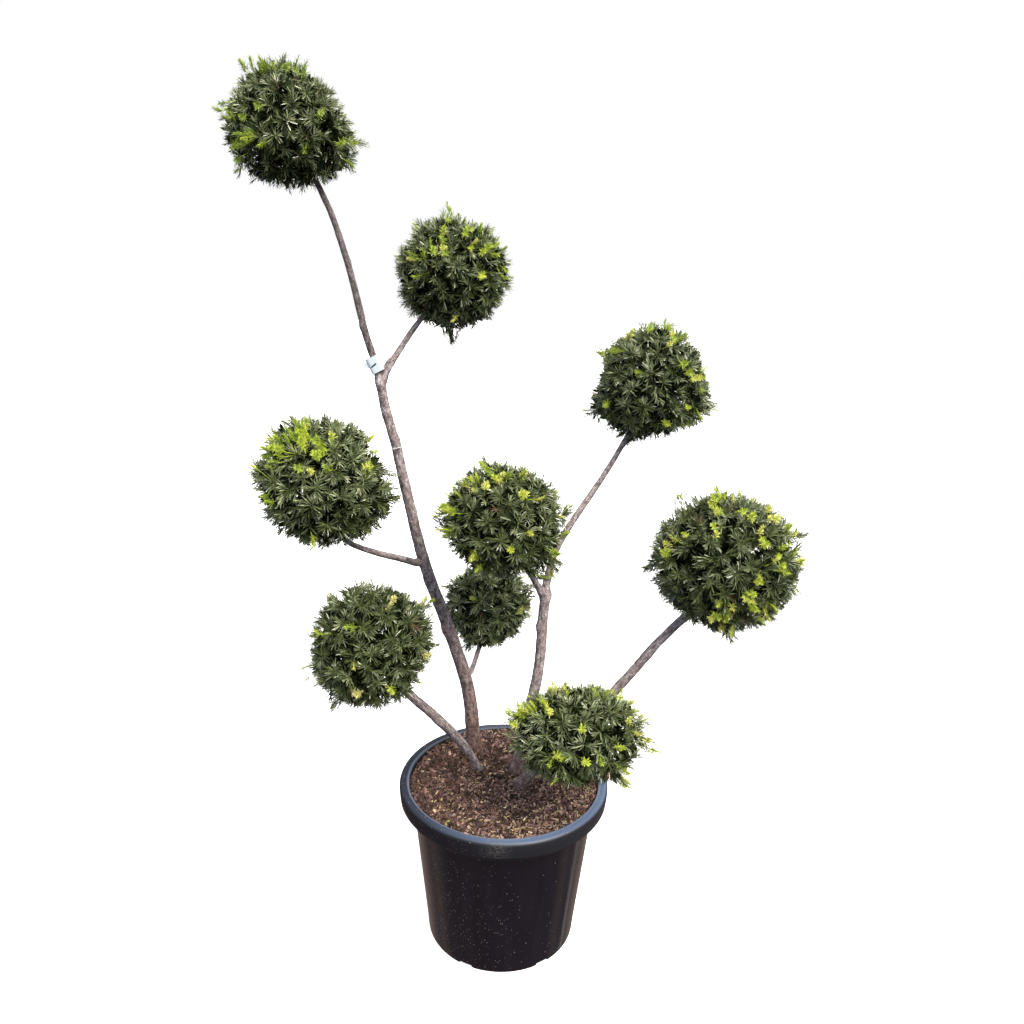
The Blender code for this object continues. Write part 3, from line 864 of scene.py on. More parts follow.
# %% [markdown]
# ## Stems and boughs
#
# The plain model already says where each limb runs and how thick it is, so both are measured from
# it: the solid is sliced across its length, and each slice gives a centre and a radius. A second
# pass slices square to the line that the first one found, because a slanted slice measures too
# thick. The line is then drawn out at both ends. At its foot it reaches into the parent limb, or
# down into the compost, and at its tip it runs on to the heart of its ball, where twigs start.

# %% Limbs: which solids they are, and what each grows from and feeds
GROWS_FROM = {"stem_left": None, "stem_front": None, "stem_middle": None, "stem_right": None,
              "leader": "stem_left", "bough_upper": "stem_left", "bough_left": "stem_left",
              "bough_back": "stem_left", "bough_right": "stem_middle",
              "bough_centre": "stem_middle", "bough_front": "stem_right"}
FEEDS = {"leader": "top", "bough_upper": "upper", "bough_left": "left",
         "bough_right": "right_upper", "bough_centre": "centre", "stem_right": "right",
         "bough_back": "back", "stem_front": "lower_left", "bough_front": "front"}
RUNS_ON = ("leader", "bough_right")    # these carry straight on from their parent's tip
SLICE_STEP = 0.012
RING_STEP = 0.0028


def node_triangles(name):
    mesh = frame["nodes"][name].data
    mesh.calc_loop_triangles()
    points = np.array([vertex.co for vertex in mesh.vertices])
    return points[np.array([triangle.vertices for triangle in mesh.loop_triangles])]


def slice_at(triangles, origin, normal):
    """Centre and radius of the section of a solid by a plane, or None outside it."""
    height = (triangles - origin) @ normal
    ends = []
    for first, second in ((0, 1), (1, 2), (2, 0)):
        low, high = height[:, first], height[:, second]
        crossed = (low < 0) != (high < 0)
        share = low / np.where(crossed, low - high, 1.0)
        spot = triangles[:, first] + share[:, None] * (triangles[:, second] - triangles[:, first])
        ends.append(np.where(crossed[:, None], spot, np.nan))
    ends = np.stack(ends, axis=1)
    cut = np.isfinite(ends[..., 0])
    ends = ends[cut.sum(axis=1) == 2]
    if len(ends) < 6:
        return None
    pairs = ends[np.isfinite(ends[..., 0])].reshape(-1, 2, 3)
    length = np.linalg.norm(pairs[:, 1] - pairs[:, 0], axis=1)
    if length.sum() < 1e-6:
        return None
    centre = (pairs.mean(axis=1) * length[:, None]).sum(axis=0) / length.sum()
    return centre, length.sum() / math.tau


def unit(vectors):
    return vectors / np.maximum(np.linalg.norm(vectors, axis=-1, keepdims=True), 1e-12)


def tangents(line):
    return unit(np.gradient(line, axis=0))


def sections(triangles, spots, ways):
    """Centres and radii of the slices at some spots, leaving out those that miss the solid."""
    found = [slice_at(triangles, spot, way) for spot, way in zip(spots, ways)]
    found = [section for section in found if section]
    return np.array([centre for centre, _ in found]), np.array([radius for _, radius in found])


def limb_line(name):
    """Centres and radii along a limb's solid, foot first."""
    triangles = node_triangles(name)
    low, high = (np.array(corner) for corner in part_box(name))
    flat = triangles.reshape(-1, 3)
    foot, tip = flat[flat[:, 2].argmin()], flat[flat[:, 2].argmax()]
    if abs(tip[2] - foot[2]) < 0.10:
        across = (high - low)[:2].argmax()
        foot, tip = flat[flat[:, across].argmin()], flat[flat[:, across].argmax()]
    count = max(8, int(np.linalg.norm(tip - foot) / SLICE_STEP))
    spots = foot + np.linspace(0.03, 0.97, count)[:, None] * (tip - foot)
    centres, radii = sections(triangles, spots, [unit(tip - foot)] * count)
    for _ in range(2):
        centres, radii = sections(triangles, centres, tangents(centres))
    return centres, radii


def trimmed(line):
    """Leaves out the first slices, which a cut round the parent limb has made too small."""
    centres, radii = line
    first = int(np.argmax(radii > 0.93 * radii.max()))
    return centres[first:], radii[first:]


lines = {name: trimmed(limb_line(name)) for name in GROWS_FROM}
for name, (centres, radii) in lines.items():
    print("%-13s %2d slices, %.0f to %.0f mm across" % (name, len(radii), 2000 * radii[0],
                                                     2000 * radii[-1]))

# %% [markdown]
# The heart of a ball is the middle of its solid, and its reach in any direction is found by
# sending a ray in from outside. Both are needed here, because the limbs run on to the hearts, and
# again when the foliage grows.

# %% Balls: where the shears went deeper
# On the outline seen from the front: clock bearing in degrees from the right, how much further
# out or in than the plain solid as a share of the reach, and over how many degrees.
TRIMS = {
    "top": ((152, -0.16, 13), (128, 0.04, 8), (100, -0.05, 9), (56, -0.12, 10), (28, -0.22, 14),
            (-14, 0.10, 8), (-30, 0.05, 10), (-110, -0.04, 12), (-136, 0.09, 9), (178, 0.04, 10)),
    "upper": ((147, -0.23, 10), (158, 0.08, 5), (130, 0.05, 5), (113, -0.18, 9), (77, -0.28, 10),
              (56, 0.05, 6), (38, -0.09, 7), (185, -0.07, 13), (-30, 0.02, 12), (-58, 0.05, 7),
              (-74, -0.09, 5), (-91, 0.22, 6), (-109, -0.15, 8)),
    "right_upper": ((176, -0.20, 15), (149, 0.09, 5), (129, -0.25, 11), (100, -0.05, 8),
                    (61, 0.03, 8), (15, -0.04, 15), (-20, 0.04, 8), (-52, -0.14, 14),
                    (-76, -0.03, 8)),
    "left": ((165, 0.06, 18), (118, 0.08, 12), (56, 0.03, 6), (32, -0.37, 8), (9, 0.17, 8),
             (-20, 0.05, 9), (-46, 0.11, 11), (-92, 0.06, 7), (-112, -0.07, 8), (-135, 0.05, 8)),
    "centre": ((62, -0.08, 11), (108, 0.12, 7), (148, -0.22, 10), (178, 0.04, 4),
               (212, -0.40, 15), (-43, 0.18, 10), (10, 0.05, 8), (190, -0.05, 6)),
    "right": ((100, 0.02, 10), (126, 0.08, 6), (68, -0.04, 8), (28, 0.11, 8), (150, -0.04, 8),
              (-172, 0.09, 8), (-115, -0.11, 9), (-58, 0.06, 8), (-82, 0.12, 6), (0, 0.01, 12)),
    "back": ((-115, 0.08, 9), (16, 0.09, 8), (-25, -0.14, 10), (-54, -0.07, 9), (125, -0.04, 8),
             (155, 0.08, 8), (-95, 0.05, 9)),
    "lower_left": ((180, -0.11, 12), (-160, 0.05, 6), (-124, 0.10, 7), (-141, -0.06, 6),
                   (-95, -0.03, 10), (136, -0.02, 8), (60, 0.06, 8), (30, 0.08, 9), (-5, 0.05, 9),
                   (-48, -0.13, 9)),
    "front": ((129, -0.10, 8), (98, -0.12, 14), (45, 0.05, 7), (22, -0.04, 7), (-7, 0.17, 6),
              (-24, -0.16, 8), (-42, 0.18, 6)),
}
# Shoots that have outgrown the last cut: bearing, how far past the outline, how many.
STRAYS = {
    "top": ((75, 0.014, 2), (90, 0.004, 2), (-10, 0.010, 3), (37, 0.012, 2)),
    "upper": ((-91, 0.004, 14), (130, 0.008, 2), (50, 0.004, 2)),
    "right_upper": ((-157, 0.010, 2), (-18, 0.008, 2), (-110, 0.006, 3), (149, 0.006, 2)),
    "left": ((52, 0.006, 3), (8, 0.008, 3), (-62, 0.006, 3)),
    "centre": ((-50, 0.014, 6), (-36, 0.012, 5), (105, 0.008, 3), (10, 0.012, 3)),
    "right": ((-82, 0.008, 4), (127, 0.014, 3), (28, 0.008, 3), (-172, 0.006, 3),
              (-46, 0.006, 3)),
    "back": ((-10, 0.012, 3), (-116, 0.012, 5), (25, 0.012, 4), (158, 0.006, 3)),
    "lower_left": ((-123, 0.012, 4), (0, 0.006, 3), (34, 0.008, 3), (85, 0.010, 1),
                   (-60, 0.006, 3)),
    "front": ((-8, 0.006, 3), (-42, 0.006, 4), (170, 0.010, 4), (14, 0.008, 3)),
}
# Where a ball's needles are shorter than elsewhere.
NEEDLE_SHARE = {"top": 0.84, "upper": 0.92, "right_upper": 0.95}


# %% Balls: heart and reach
class Ball:
    """The clipped outline that a ball of foliage was trained to."""

    def __init__(self, name):
        self.name = name
        self.node = "foliage_" + name
        mesh = frame["nodes"][self.node].data
        points = [vertex.co.copy() for vertex in mesh.vertices]
        faces = [tuple(polygon.vertices) for polygon in mesh.polygons]
        self.trims = []
        self.tree = BVHTree.FromPolygons(points, faces)
        low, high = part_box(self.node)
        self.heart = (low + high) / 2
        self.radius = float(np.mean([self.reach(Vector(way)) for way in even_directions(60)]))
        sight = (EYE - self.heart).normalized()
        self.right = sight.cross(Vector((0, 0, 1))).normalized() * -1
        self.up = self.right.cross(sight) * -1
        self.sight = sight
        self.trims = [(self.facing(bearing, 1.0), amount, math.radians(spread))
                      for bearing, amount, spread in TRIMS[name]]

    def reach(self, way):
        """How far the outline is from the heart along a direction."""
        far = 0.5
        hit = self.tree.ray_cast(self.heart + way * far, -way)
        plain = far - hit[3] if hit[0] else self.radius
        more = sum(amount * math.exp(-(way.angle(middle) / spread) ** 2)
                   for middle, amount, spread in self.trims)
        return plain * (1 + more)

    def facing(self, bearing, out):
        """The direction to a place on the side that faces the front, from its clock bearing."""
        flat = min(out, 1.0)
        around = math.radians(bearing)
        ahead = math.sqrt(1.0 - flat * flat)
        return (self.right * math.cos(around) + self.up * math.sin(around)) * flat \
            + self.sight * ahead


def even_directions(count, rng=None, jitter=0.0):
    """Directions spread evenly over a sphere by the golden angle, shaken a little if asked."""
    step = np.arange(count) + 0.5
    height = 1 - 2 * step / count
    turn = step * math.pi * (3 - math.sqrt(5))
    flat = np.sqrt(1 - height * height)
    ways = np.stack([flat * np.cos(turn), flat * np.sin(turn), height], axis=1)
    if rng is not None:
        ways = unit(ways + rng.normal(0, jitter, ways.shape))
    return ways


balls = {name: Ball(name) for name in FEEDS.values()}
for ball in balls.values():
    print("%-20s heart %s, mean reach %.0f mm" % (
        ball.node, tuple(round(part, 3) for part in ball.heart), 1000 * ball.radius))

# %% [markdown]
# Each limb is then skinned with rings of points. Where a bough leaves a stem the rings widen into
# the collar that a living joint has, where a stem enters the ground they spread a little, and old
# pruning scars make knots on one side.

# %% Limbs: drawn out at both ends
FOOT_DEPTH = 0.034
COLLAR_SWELL = 0.38
SMOOTH_OVER = 5
# Small shifts to the right of some limbs at their feet and tips, and how much thicker they grew.
NUDGES = {"stem_middle": (0.0005, 0.0020, 1.06), "stem_right": (0.0010, 0.0020, 1.08),
          "bough_right": (0.0020, 0.0015, 1.06), "leader": (0.0018, 0.0014, 1.03),
          "bough_upper": (-0.0005, -0.0005, 1.05), "stem_left": (0.0, 0.0010, 1.07),
          "bough_left": (0.0, 0.0, 1.14), "bough_centre": (0.0, 0.0, 1.06),
          "stem_front": (0.0, 0.0, 1.04)}
# The front stem is slender at its foot.
FOOT_WIDTH = {"stem_front": 0.70}


def nudged(name, centres, radii):
    first, last, wider = NUDGES.get(name, (0.0, 0.0, 1.0))
    shift = np.linspace(first, last, len(centres))
    wide = np.interp(np.linspace(0, 1, len(centres)), (0, 0.45),
                     (FOOT_WIDTH.get(name, wider), wider))
    return centres + shift[:, None] * (1.0, 0.0, 0.0), radii * wide


def bend_between(start, start_way, end, end_way, count, pull=0.4):
    """Points along a smooth curve from one point and direction to another."""
    share = np.linspace(0, 1, count)[:, None]
    gap = np.linalg.norm(end - start)
    first, second = start + start_way * gap * pull, end - end_way * gap * pull
    return ((1 - share) ** 3 * start + 3 * (1 - share) ** 2 * share * first
            + 3 * (1 - share) * share ** 2 * second + share ** 3 * end)


def along_line(points, known, wanted):
    """The points of a line at the wanted places, when each of its own stands at a known one."""
    return np.stack([np.interp(wanted, known, points[:, axis]) for axis in range(3)], axis=1)


def even_line(centres, radii, step):
    """The same line with a point every step, its kinks smoothed."""
    length = np.concatenate([[0], np.cumsum(np.linalg.norm(np.diff(centres, axis=0), axis=1))])
    places = np.arange(0, length[-1], step)
    wide = np.interp(places, length, radii)
    line = along_line(centres, length, places)
    kernel = np.hanning(2 * SMOOTH_OVER + 3)[1:-1]
    kernel /= kernel.sum()

    def smooth(values):
        padded = np.pad(values, SMOOTH_OVER, mode="reflect", reflect_type="odd")
        return np.convolve(padded, kernel, mode="valid")

    return np.stack([smooth(line[:, axis]) for axis in range(3)], axis=1), smooth(wide)


def drawn_out(name):
    """Line and radii of a limb, from inside what it grows from to the heart of its ball."""
    centres, radii = nudged(name, *lines[name])
    foot_way, tip_way = unit(centres[1] - centres[0]), unit(centres[-1] - centres[-2])
    parent = GROWS_FROM[name]
    if parent is None:
        drop = (centres[0][2] - GROUND + FOOT_DEPTH) / max(foot_way[2], 0.3)
        start = [centres[0] - foot_way * drop]
        start_radii = [radii[0]]
    elif name in RUNS_ON:
        stem, stem_radii = lines[parent]
        start = [stem[-2]]
        start_radii = [min(radii[0], stem_radii[-1]) * 0.9]
    else:
        stem, stem_radii = lines[parent]
        near = int(np.argmin(np.linalg.norm(stem - centres[0], axis=1)))
        lower = max(near - 1, 0)
        start = list(bend_between(stem[lower], tangents(stem)[lower], centres[0], foot_way, 6)[:-1])
        start_radii = [radii[0]] * len(start)
    if name in FEEDS:
        ball = balls[FEEDS[name]]
        heart = np.array(ball.heart)
        inward = unit(heart - centres[-1])
        goal = centres[-1] + (heart - centres[-1]) * 0.72
        end = list(bend_between(centres[-1], tip_way, goal, inward, 9)[1:])
        end_radii = list(radii[-1] * np.linspace(0.95, 0.38, 8))
    else:
        heir = next(limb for limb in RUNS_ON if GROWS_FROM[limb] == name)
        end = list(lines[heir][0][:3])
        end_radii = [lines[heir][1][0] * share for share in (0.97, 0.85, 0.6)]
    return even_line(np.array(start + list(centres) + end),
                     np.array(start_radii + list(radii) + end_radii), RING_STEP)


drawn = {name: drawn_out(name) for name in GROWS_FROM}

# %% Knots: pruning scars and swellings
# Limb, height above the floor, the side it faces in degrees from the right, how far it stands
# out, and how wide it is.
KNOTS = (("stem_left", 1.352, 270, 0.0040, 0.013), ("stem_left", 1.352, 180, 0.0020, 0.012),
         ("bough_upper", 1.388, 180, 0.0060, 0.012), ("leader", 1.385, 0, 0.0050, 0.012),
         ("stem_left", 0.761, 200, 0.0045, 0.014), ("stem_left", 0.886, 150, 0.0035, 0.018),
         ("stem_left", 0.620, 300, 0.0030, 0.012), ("stem_left", 1.060, 330, 0.0022, 0.009),
         ("stem_left", 1.225, 350, 0.0022, 0.008), ("stem_left", 0.500, 240, 0.0030, 0.014),
         ("stem_middle", 0.790, 190, 0.0040, 0.012), ("stem_middle", 0.868, 20, 0.0045, 0.014),
         ("stem_middle", 0.620, 260, 0.0030, 0.011), ("stem_front", 0.660, 110, 0.0060, 0.011),
         ("stem_front", 0.581, 250, 0.0040, 0.012), ("stem_front", 0.480, 300, 0.0025, 0.010),
         ("stem_right", 0.679, 100, 0.0035, 0.009), ("stem_right", 0.750, 290, 0.0030, 0.008),
         ("stem_right", 0.560, 200, 0.0035, 0.012), ("leader", 1.470, 200, 0.0020, 0.007),
         ("leader", 1.600, 20, 0.0018, 0.006), ("bough_right", 1.060, 240, 0.0020, 0.007))

# %% Bark: rings with the relief of flaking bark
BARK_STEPS = 26
# How grey the weather has made some limbs, and how high above the compost they are darkened:
# splashed stain at the feet, and painted shade further up the left stem.
WEATHERED = {"leader": 0.70, "bough_upper": 0.24, "bough_left": 0.12, "stem_front": 0.26,
             "stem_right": 0.06}
STAIN_AND_SHADE_TO = {"stem_left": 0.48, "stem_front": 0.04, "stem_middle": 0.16, "stem_right": 0.18}


def carried_frames(way):
    """Two axes square to each direction of a line, carried along it without twisting."""
    side = unit(np.cross(way[0], (0.13, 0.97, 0.2)))
    sides = []
    for here in way:
        side = unit(side - here * (side @ here))
        sides.append(side)
    sides = np.array(sides)
    return sides, np.cross(way, sides)


def spokes(line, count):
    """Directions square to a line, evenly round each of its points: (points, count, 3)."""
    side, over = carried_frames(tangents(line))
    turn = turns(count)
    return (np.cos(turn)[None, :, None] * side[:, None]
            + np.sin(turn)[None, :, None] * over[:, None])


def collar(name, line, radii):
    """How much thicker each ring is near the place where the limb starts."""
    if GROWS_FROM[name] is None:
        out_of_ground = np.clip((line[:, 2] - GROUND) / 0.045, 0, 1)
        return 1 + 0.05 * (1 - out_of_ground) ** 2
    if name in RUNS_ON:
        return np.ones(len(radii))
    stem, stem_radii = drawn[GROWS_FROM[name]]
    gap = np.linalg.norm(stem[None] - line[:, None], axis=2)
    nearest = gap.argmin(axis=1)
    clear = gap[np.arange(len(line)), nearest] - stem_radii[nearest]
    return 1 + COLLAR_SWELL * np.exp(-np.clip(clear, 0, None) / (0.9 * radii))


def bark_mesh(name):
    line, radii = drawn[name]
    along = np.arange(len(line)) * RING_STEP
    around = spokes(line, BARK_STEPS)
    wide = radii * collar(name, line, radii)
    grid = np.empty((len(line), BARK_STEPS, 3))
    grain = np.empty((len(line), BARK_STEPS, 3))
    knots = [knot for knot in KNOTS if knot[0] == name]
    seed = 1.7 * list(GROWS_FROM).index(name)
    rough = min(1.0, radii[0] / 0.012)
    for ring in range(len(line)):
        for step, angle in enumerate(turns(BARK_STEPS)):
            x, y, z = math.cos(angle) * wide[ring], math.sin(angle) * wide[ring], along[ring]
            swell = 0.05 * hills((x, y, z * 0.45), 0.028, seed, 2)
            flake = hills((x, y, z * 0.42), 0.0052, seed + 9, 3)
            plate = noise.cell(Vector((x / 0.009, y / 0.009, z / 0.019)))
            lift = 0.00055 * flake + 0.00035 * (plate - 0.5)
            reach = wide[ring] * (1 + swell) + rough * lift
            for _, height, bearing, bulge, width in knots:
                facing = math.cos(math.radians(bearing)), math.sin(math.radians(bearing))
                off = line[ring][2] - height
                if abs(off) < 3 * width:
                    turned = around[ring, step, 0] * facing[0] + around[ring, step, 1] * facing[1]
                    reach += bulge * math.exp(-(off / width) ** 2) * max(0.0, turned) ** 3
            grid[ring, step] = line[ring] + around[ring, step] * reach
            grain[ring, step] = x, y, z
    mesh = grid_mesh(name, grid)
    up = np.clip((grid[..., 2] - GROUND) / STAIN_AND_SHADE_TO.get(name, 0.01), 0, 1)
    carry(mesh, "grain", (grain + (0, 0, seed)).reshape(-1, 3))
    carry(mesh, "stain", (0.9 * (1 - up) ** 1.2).ravel())
    carry(mesh, "weather", np.full(up.size, WEATHERED.get(name, 0.0)))
    return mesh


# %% [markdown]
# Bark of a young yew is thin and scaly. Grey-brown plates lift and drop to show a pinker brown
# beneath, and paler breathing pores run in short bands across the stem. The colour follows the
# grain of each limb through an attribute, so that the scales stay long ways on however the limb
# bends. The scales are about 5 by 12 mm.

# %% Bark: thin scaly bark
def scaly_bark():
    made = finish_of("thin_scaly_yew_bark", "#7a6a66", 0.82, Specular_IOR_Level=0.3)
    tree = made.node_tree
    grain = add(tree, "ShaderNodeAttribute", attribute_name="grain").outputs["Vector"]
    plates = clouds(tree, stretched(tree, grain, 150.0, 150.0, 75.0), 1.0, Detail=4.0,
                    Roughness=0.65)
    fine = clouds(tree, grain, 620.0, Detail=3.0)
    height = maths(tree, "MULTIPLY", maths(tree, "ADD", plates, fine), 0.5)
    colour = ramp(tree, height, (0.36, "#2e2829"), (0.45, "#5c5354"), (0.53, "#8a8080"),
                  (0.62, "#c9c1c0"))
    warm = span(tree, clouds(tree, grain, 28.0, Detail=2.0), 0.42, 0.64, 0.0, 0.30)
    bands = stretched(tree, grain, 110.0, 110.0, 330.0)
    pores = add(tree, "ShaderNodeTexVoronoi", {"Vector": bands, "Scale": 1.0}).outputs["Distance"]
    colour = blend(tree, warm, colour, "#7f6864")
    colour = blend(tree, span(tree, pores, 0.12, 0.26, 0.7, 0.0), colour, "#c3b7b2")
    # Upper limbs have weathered grey. The feet of the stems are darkened towards the compost by
    # splashed stain, and up the left stem by painted shade as well.
    for label, tone in (("weather", "#898786"), ("stain", "#c8a48e")):
        share = add(tree, "ShaderNodeAttribute", attribute_name=label).outputs["Fac"]
        colour = blend(tree, share, colour, tone, "MULTIPLY")
    feed(made, Base_Color=colour, Normal=relief(tree, height, 0.9, 0.0014))
    return made


bark = scaly_bark()
for name in GROWS_FROM:
    limb_mesh = bark_mesh(name)
    dress(limb_mesh, bark)
    place(name + "_bark", limb_mesh, "bark", name)

# %% [markdown]
# ## How a ball of foliage grows
#
# A clipped yew ball is a shell of short leafy shoots on a frame of ever finer twigs. The rule here
# grows it the same way. Each generation has its tips spread evenly over a sphere, further out and
# closer together than the last, and every tip sends a curved twig back to the nearest wood that
# it could have branched from. Boughs come first, then twigs, then twiglets, then the leafy shoots
# that end at the clipped outline, with a sparser set inside that closes the view and is painted
# dark as painted shade.

# %% Foliage: the rule of growth
SHOOT_GAP = 0.0235         # between neighbouring tips at the clipped outline
NEEDLE = 0.0250
OUTLINE_GAP = 0.0076       # how far inside the outline an old shoot stops
LEAFY_OUTER, LEAFY_STRAY, LEAFY_INNER = 0.042, 0.038, 0.045    # how much of a shoot has needles
# Shells of shoots inside, painted dark as painted shade: share of the reach, and the gap between
# their tips.
INNER_SHELLS = ((0.80, 0.0275), (0.54, 0.030), (0.27, 0.034))
# Which finish a twig takes.
BROWN_SKIN, GREEN_SKIN, LIME_SKIN = range(3)


class Wood:
    """Every path of one ball, with what later twigs need to know to branch from it."""

    def __init__(self, rng):
        self.rng = rng
        self.paths = []
        self.spots = np.empty((0, 3))
        self.ways = np.empty((0, 3))

    def add(self, path, thick, tint, sides, open_to_twigs=True):
        self.paths.append((path, thick, tint, sides))
        if open_to_twigs:
            skip = 1 if len(path) < 6 else 2
            self.spots = np.concatenate([self.spots, path[skip:]])
            self.ways = np.concatenate([self.ways, tangents(path)[skip:]])

    def branch(self, tip, way, count, crook, pull=0.35, straighten=1.1):
        """The path to a tip from the best place on the wood so far."""
        gap = tip - self.spots
        far = np.linalg.norm(gap, axis=1)
        lean = 1 - (gap * self.ways).sum(axis=1) / np.maximum(far, 1e-6)
        best = int(np.argmin(far * (1 + straighten * lean) + (far < 0.006)))
        start_way = unit(self.ways[best] + 1.1 * unit(gap[best]))
        path = bend_between(self.spots[best], start_way, tip, way, count, pull)
        path[1:-1] += self.rng.normal(0, crook, (count - 2, 3))
        return path


def outline_points(ball, ways, share, inset=0.0):
    """The places at a share of the way to the outline, less an inset."""
    heart = np.array(ball.heart)
    reach = np.array([ball.reach(Vector(way)) for way in ways])
    return heart + ways * (reach * share - inset)[:, None]


def tips_for(ball, gap, share=1.0):
    """How many tips sit a given gap apart over a share of the ball's radius."""
    return max(6, int(4 * math.pi * (ball.radius * share) ** 2 / (0.87 * gap * gap)))


def grow_frame(ball, limb, rng):
    """Boughs, twigs and twiglets inside a ball, on the limb that feeds it."""
    wood = Wood(rng)
    line, radii = drawn[limb]
    inner = line[-int(0.6 * ball.radius / RING_STEP):]
    wood.spots, wood.ways = inner[::4], tangents(inner)[::4]
    # Share of the reach, gap between tips, points of a path, crook, thickness, sides.
    plan = ((0.46, 0.115, 9, 0.0020, (0.0030, 0.0019), 6),
            (0.70, 0.068, 7, 0.0015, (0.0018, 0.0012), 5),
            (0.86, 0.043, 5, 0.0010, (0.0012, 0.0008), 4))
    for share, gap, count, crook, thick, sides in plan:
        ways = even_directions(tips_for(ball, gap, share), rng, 0.10)
        tips = outline_points(ball, ways, share * rng.uniform(0.93, 1.05, len(ways)))
        for tip, way in zip(tips, ways):
            lifted = unit(way + (0, 0, 0.18))
            path = wood.branch(tip, lifted, count, crook)
            scale = min(1.0, radii[-1] / thick[0]) if share < 0.5 else 1.0
            wood.add(path, np.linspace(thick[0] * scale, thick[1], count), BROWN_SKIN, sides)
    return wood


# %% [markdown]
# Needles are laid on shoots, and a shoot is one curve. Five numbers describe all the needles on
# it: how many there are, where the leafy part begins, how far they lean out at its foot and at
# its tip, and their length. Each needle is turned by the golden angle from the last, as buds are.

# %% Foliage: the tree that lays needles along shoots
GOLDEN_ANGLE = math.pi * (3 - math.sqrt(5))


def needle_mesh(wide, bend):
    """One flat needle a unit long. It stands along Z, faces +Y, and has four triangles."""
    points = [(0.0, 0.0, 0.0)]
    for height, share in ((0.16, 0.94), (0.80, 0.92)):
        points += [(side * wide * share / 2, bend * height * height, height) for side in (-1, 1)]
    points.append((0.0, bend, 1.0))
    mesh = bpy.data.meshes.new("needle")
    mesh.from_pydata(points, [], [(0, 1, 2), (1, 3, 4, 2), (3, 5, 4)])
    mesh.shade_smooth()
    return mesh


def curves_of(tree, given):
    """Turns the loose points that come in into one curve for each shoot."""
    loose = add(tree, "GeometryNodeMeshToPoints", {"Mesh": given["Geometry"]}).outputs["Points"]
    return add(tree, "GeometryNodePointsToCurves",
               {"Points": loose, "Curve Group ID": carried(tree, "shoot", "INT"),
                "Weight": carried(tree, "order")}).outputs["Curves"]


def needle_tree(name, shapes, materials):
    tree, given = new_tree(name, shapes=shapes, per_shoot=26, bare_share=0.35, foot_lean=1.2,
                           tip_lean=0.5, tip_size=0.7, mixed=0.0, seed=0)

    def between(low, high):
        """Chance between two numbers, drawn for each needle."""
        return add(tree, "FunctionNodeRandomValue", {2: low, 3: high, "Seed": given["seed"]},
                   data_type="FLOAT").outputs[1]

    def up_to(last):
        """A whole number by chance, from nought to the last."""
        return add(tree, "FunctionNodeRandomValue", {5: last, "Seed": given["seed"]},
                   data_type="INT").outputs[2]

    def turned(rotation, axis, angle):
        by = add(tree, "FunctionNodeAxisAngleToRotation", {"Axis": axis, "Angle": angle})
        return add(tree, "FunctionNodeRotateRotation",
                   {"Rotation": rotation, "Rotate By": by.outputs["Rotation"]},
                   rotation_space="LOCAL").outputs["Rotation"]

    leafy = add(tree, "GeometryNodeTrimCurve",
                {"Curve": curves_of(tree, given), "Start": given["bare_share"]},
                mode="FACTOR").outputs["Curve"]
    seats = add(tree, "GeometryNodeResampleCurve", {"Curve": leafy, "Count": given["per_shoot"]},
                mode="COUNT").outputs["Curve"]
    along = add(tree, "GeometryNodeSplineParameter").outputs
    tangent = add(tree, "GeometryNodeInputTangent").outputs["Tangent"]
    upright = add(tree, "FunctionNodeAlignRotationToVector", {"Vector": tangent},
                  axis="Z").outputs["Rotation"]
    # Golden angle about the shoot, with a little looseness.
    golden = maths(tree, "MULTIPLY", along["Index"], GOLDEN_ANGLE)
    around = turned(upright, (0.0, 0.0, 1.0), maths(tree, "ADD", golden, between(-0.9, 0.9)))
    # Leaning out from the shoot, more at its foot than at its tip.
    lean = span(tree, along["Factor"], start=given["foot_lean"], end=given["tip_lean"])
    stand = turned(around, (1.0, 0.0, 0.0), maths(tree, "ADD", lean, between(-0.34, 0.34)))
    # Length: the shoot's own, a little chance, and shorter towards the tip.
    taper = span(tree, along["Factor"], start=1.0, end=given["tip_size"])
    long = product(tree, carried(tree, "size"), between(0.82, 1.12), taper)
    laid = copied_on(tree, seats, given["shapes"], up_to(2), stand, long)
    # A few needles take another colour, as no two on a shoot weather alike.
    apart = add(tree, "FunctionNodeRandomValue",
                {"Probability": given["mixed"], "Seed": given["seed"]},
                data_type="BOOLEAN").outputs[3]
    tint = add(tree, "GeometryNodeSwitch",
               {"Switch": apart, "False": carried(tree, "tint", "INT"), "True": up_to(4)},
               input_type="INT").outputs["Output"]
    dealt = add(tree, "GeometryNodeStoreNamedAttribute",
                {"Geometry": laid, "Name": "tint", "Value": tint}, data_type="INT",
                domain="INSTANCE").outputs["Geometry"]
    paint_by_tint(tree, made_real(tree, dealt), materials)
    return tree


def twig_tree(name, materials):
    """Skins each path with a tube of as many sides as asked for, 'thick' in radius."""
    tree, given = new_tree(name, sides=5)
    ring = add(tree, "GeometryNodeCurvePrimitiveCircle",
               {"Resolution": given["sides"], "Radius": 1.0}).outputs["Curve"]
    tube = add(tree, "GeometryNodeCurveToMesh",
               {"Curve": curves_of(tree, given), "Profile Curve": ring,
                "Scale": carried(tree, "thick"), "Fill Caps": True}).outputs["Mesh"]
    smooth = add(tree, "GeometryNodeSetShadeSmooth", {"Geometry": tube}).outputs["Geometry"]
    paint_by_tint(tree, smooth, materials)
    return tree


def path_points(name, shoots):
    """A mesh of the points of many paths. Each shoot is (points, {attribute: value or array})."""
    counts = [len(points) for points, _ in shoots]
    values = {"shoot": np.repeat(np.arange(len(shoots)), counts),
              "order": np.concatenate([np.arange(count, dtype=float) for count in counts])}
    for label in shoots[0][1]:
        parts = [np.broadcast_to(value[label], count)
                 for (_, value), count in zip(shoots, counts)]
        values[label] = np.concatenate(parts)
    return point_mesh(name, np.concatenate([points for points, _ in shoots]), **values)


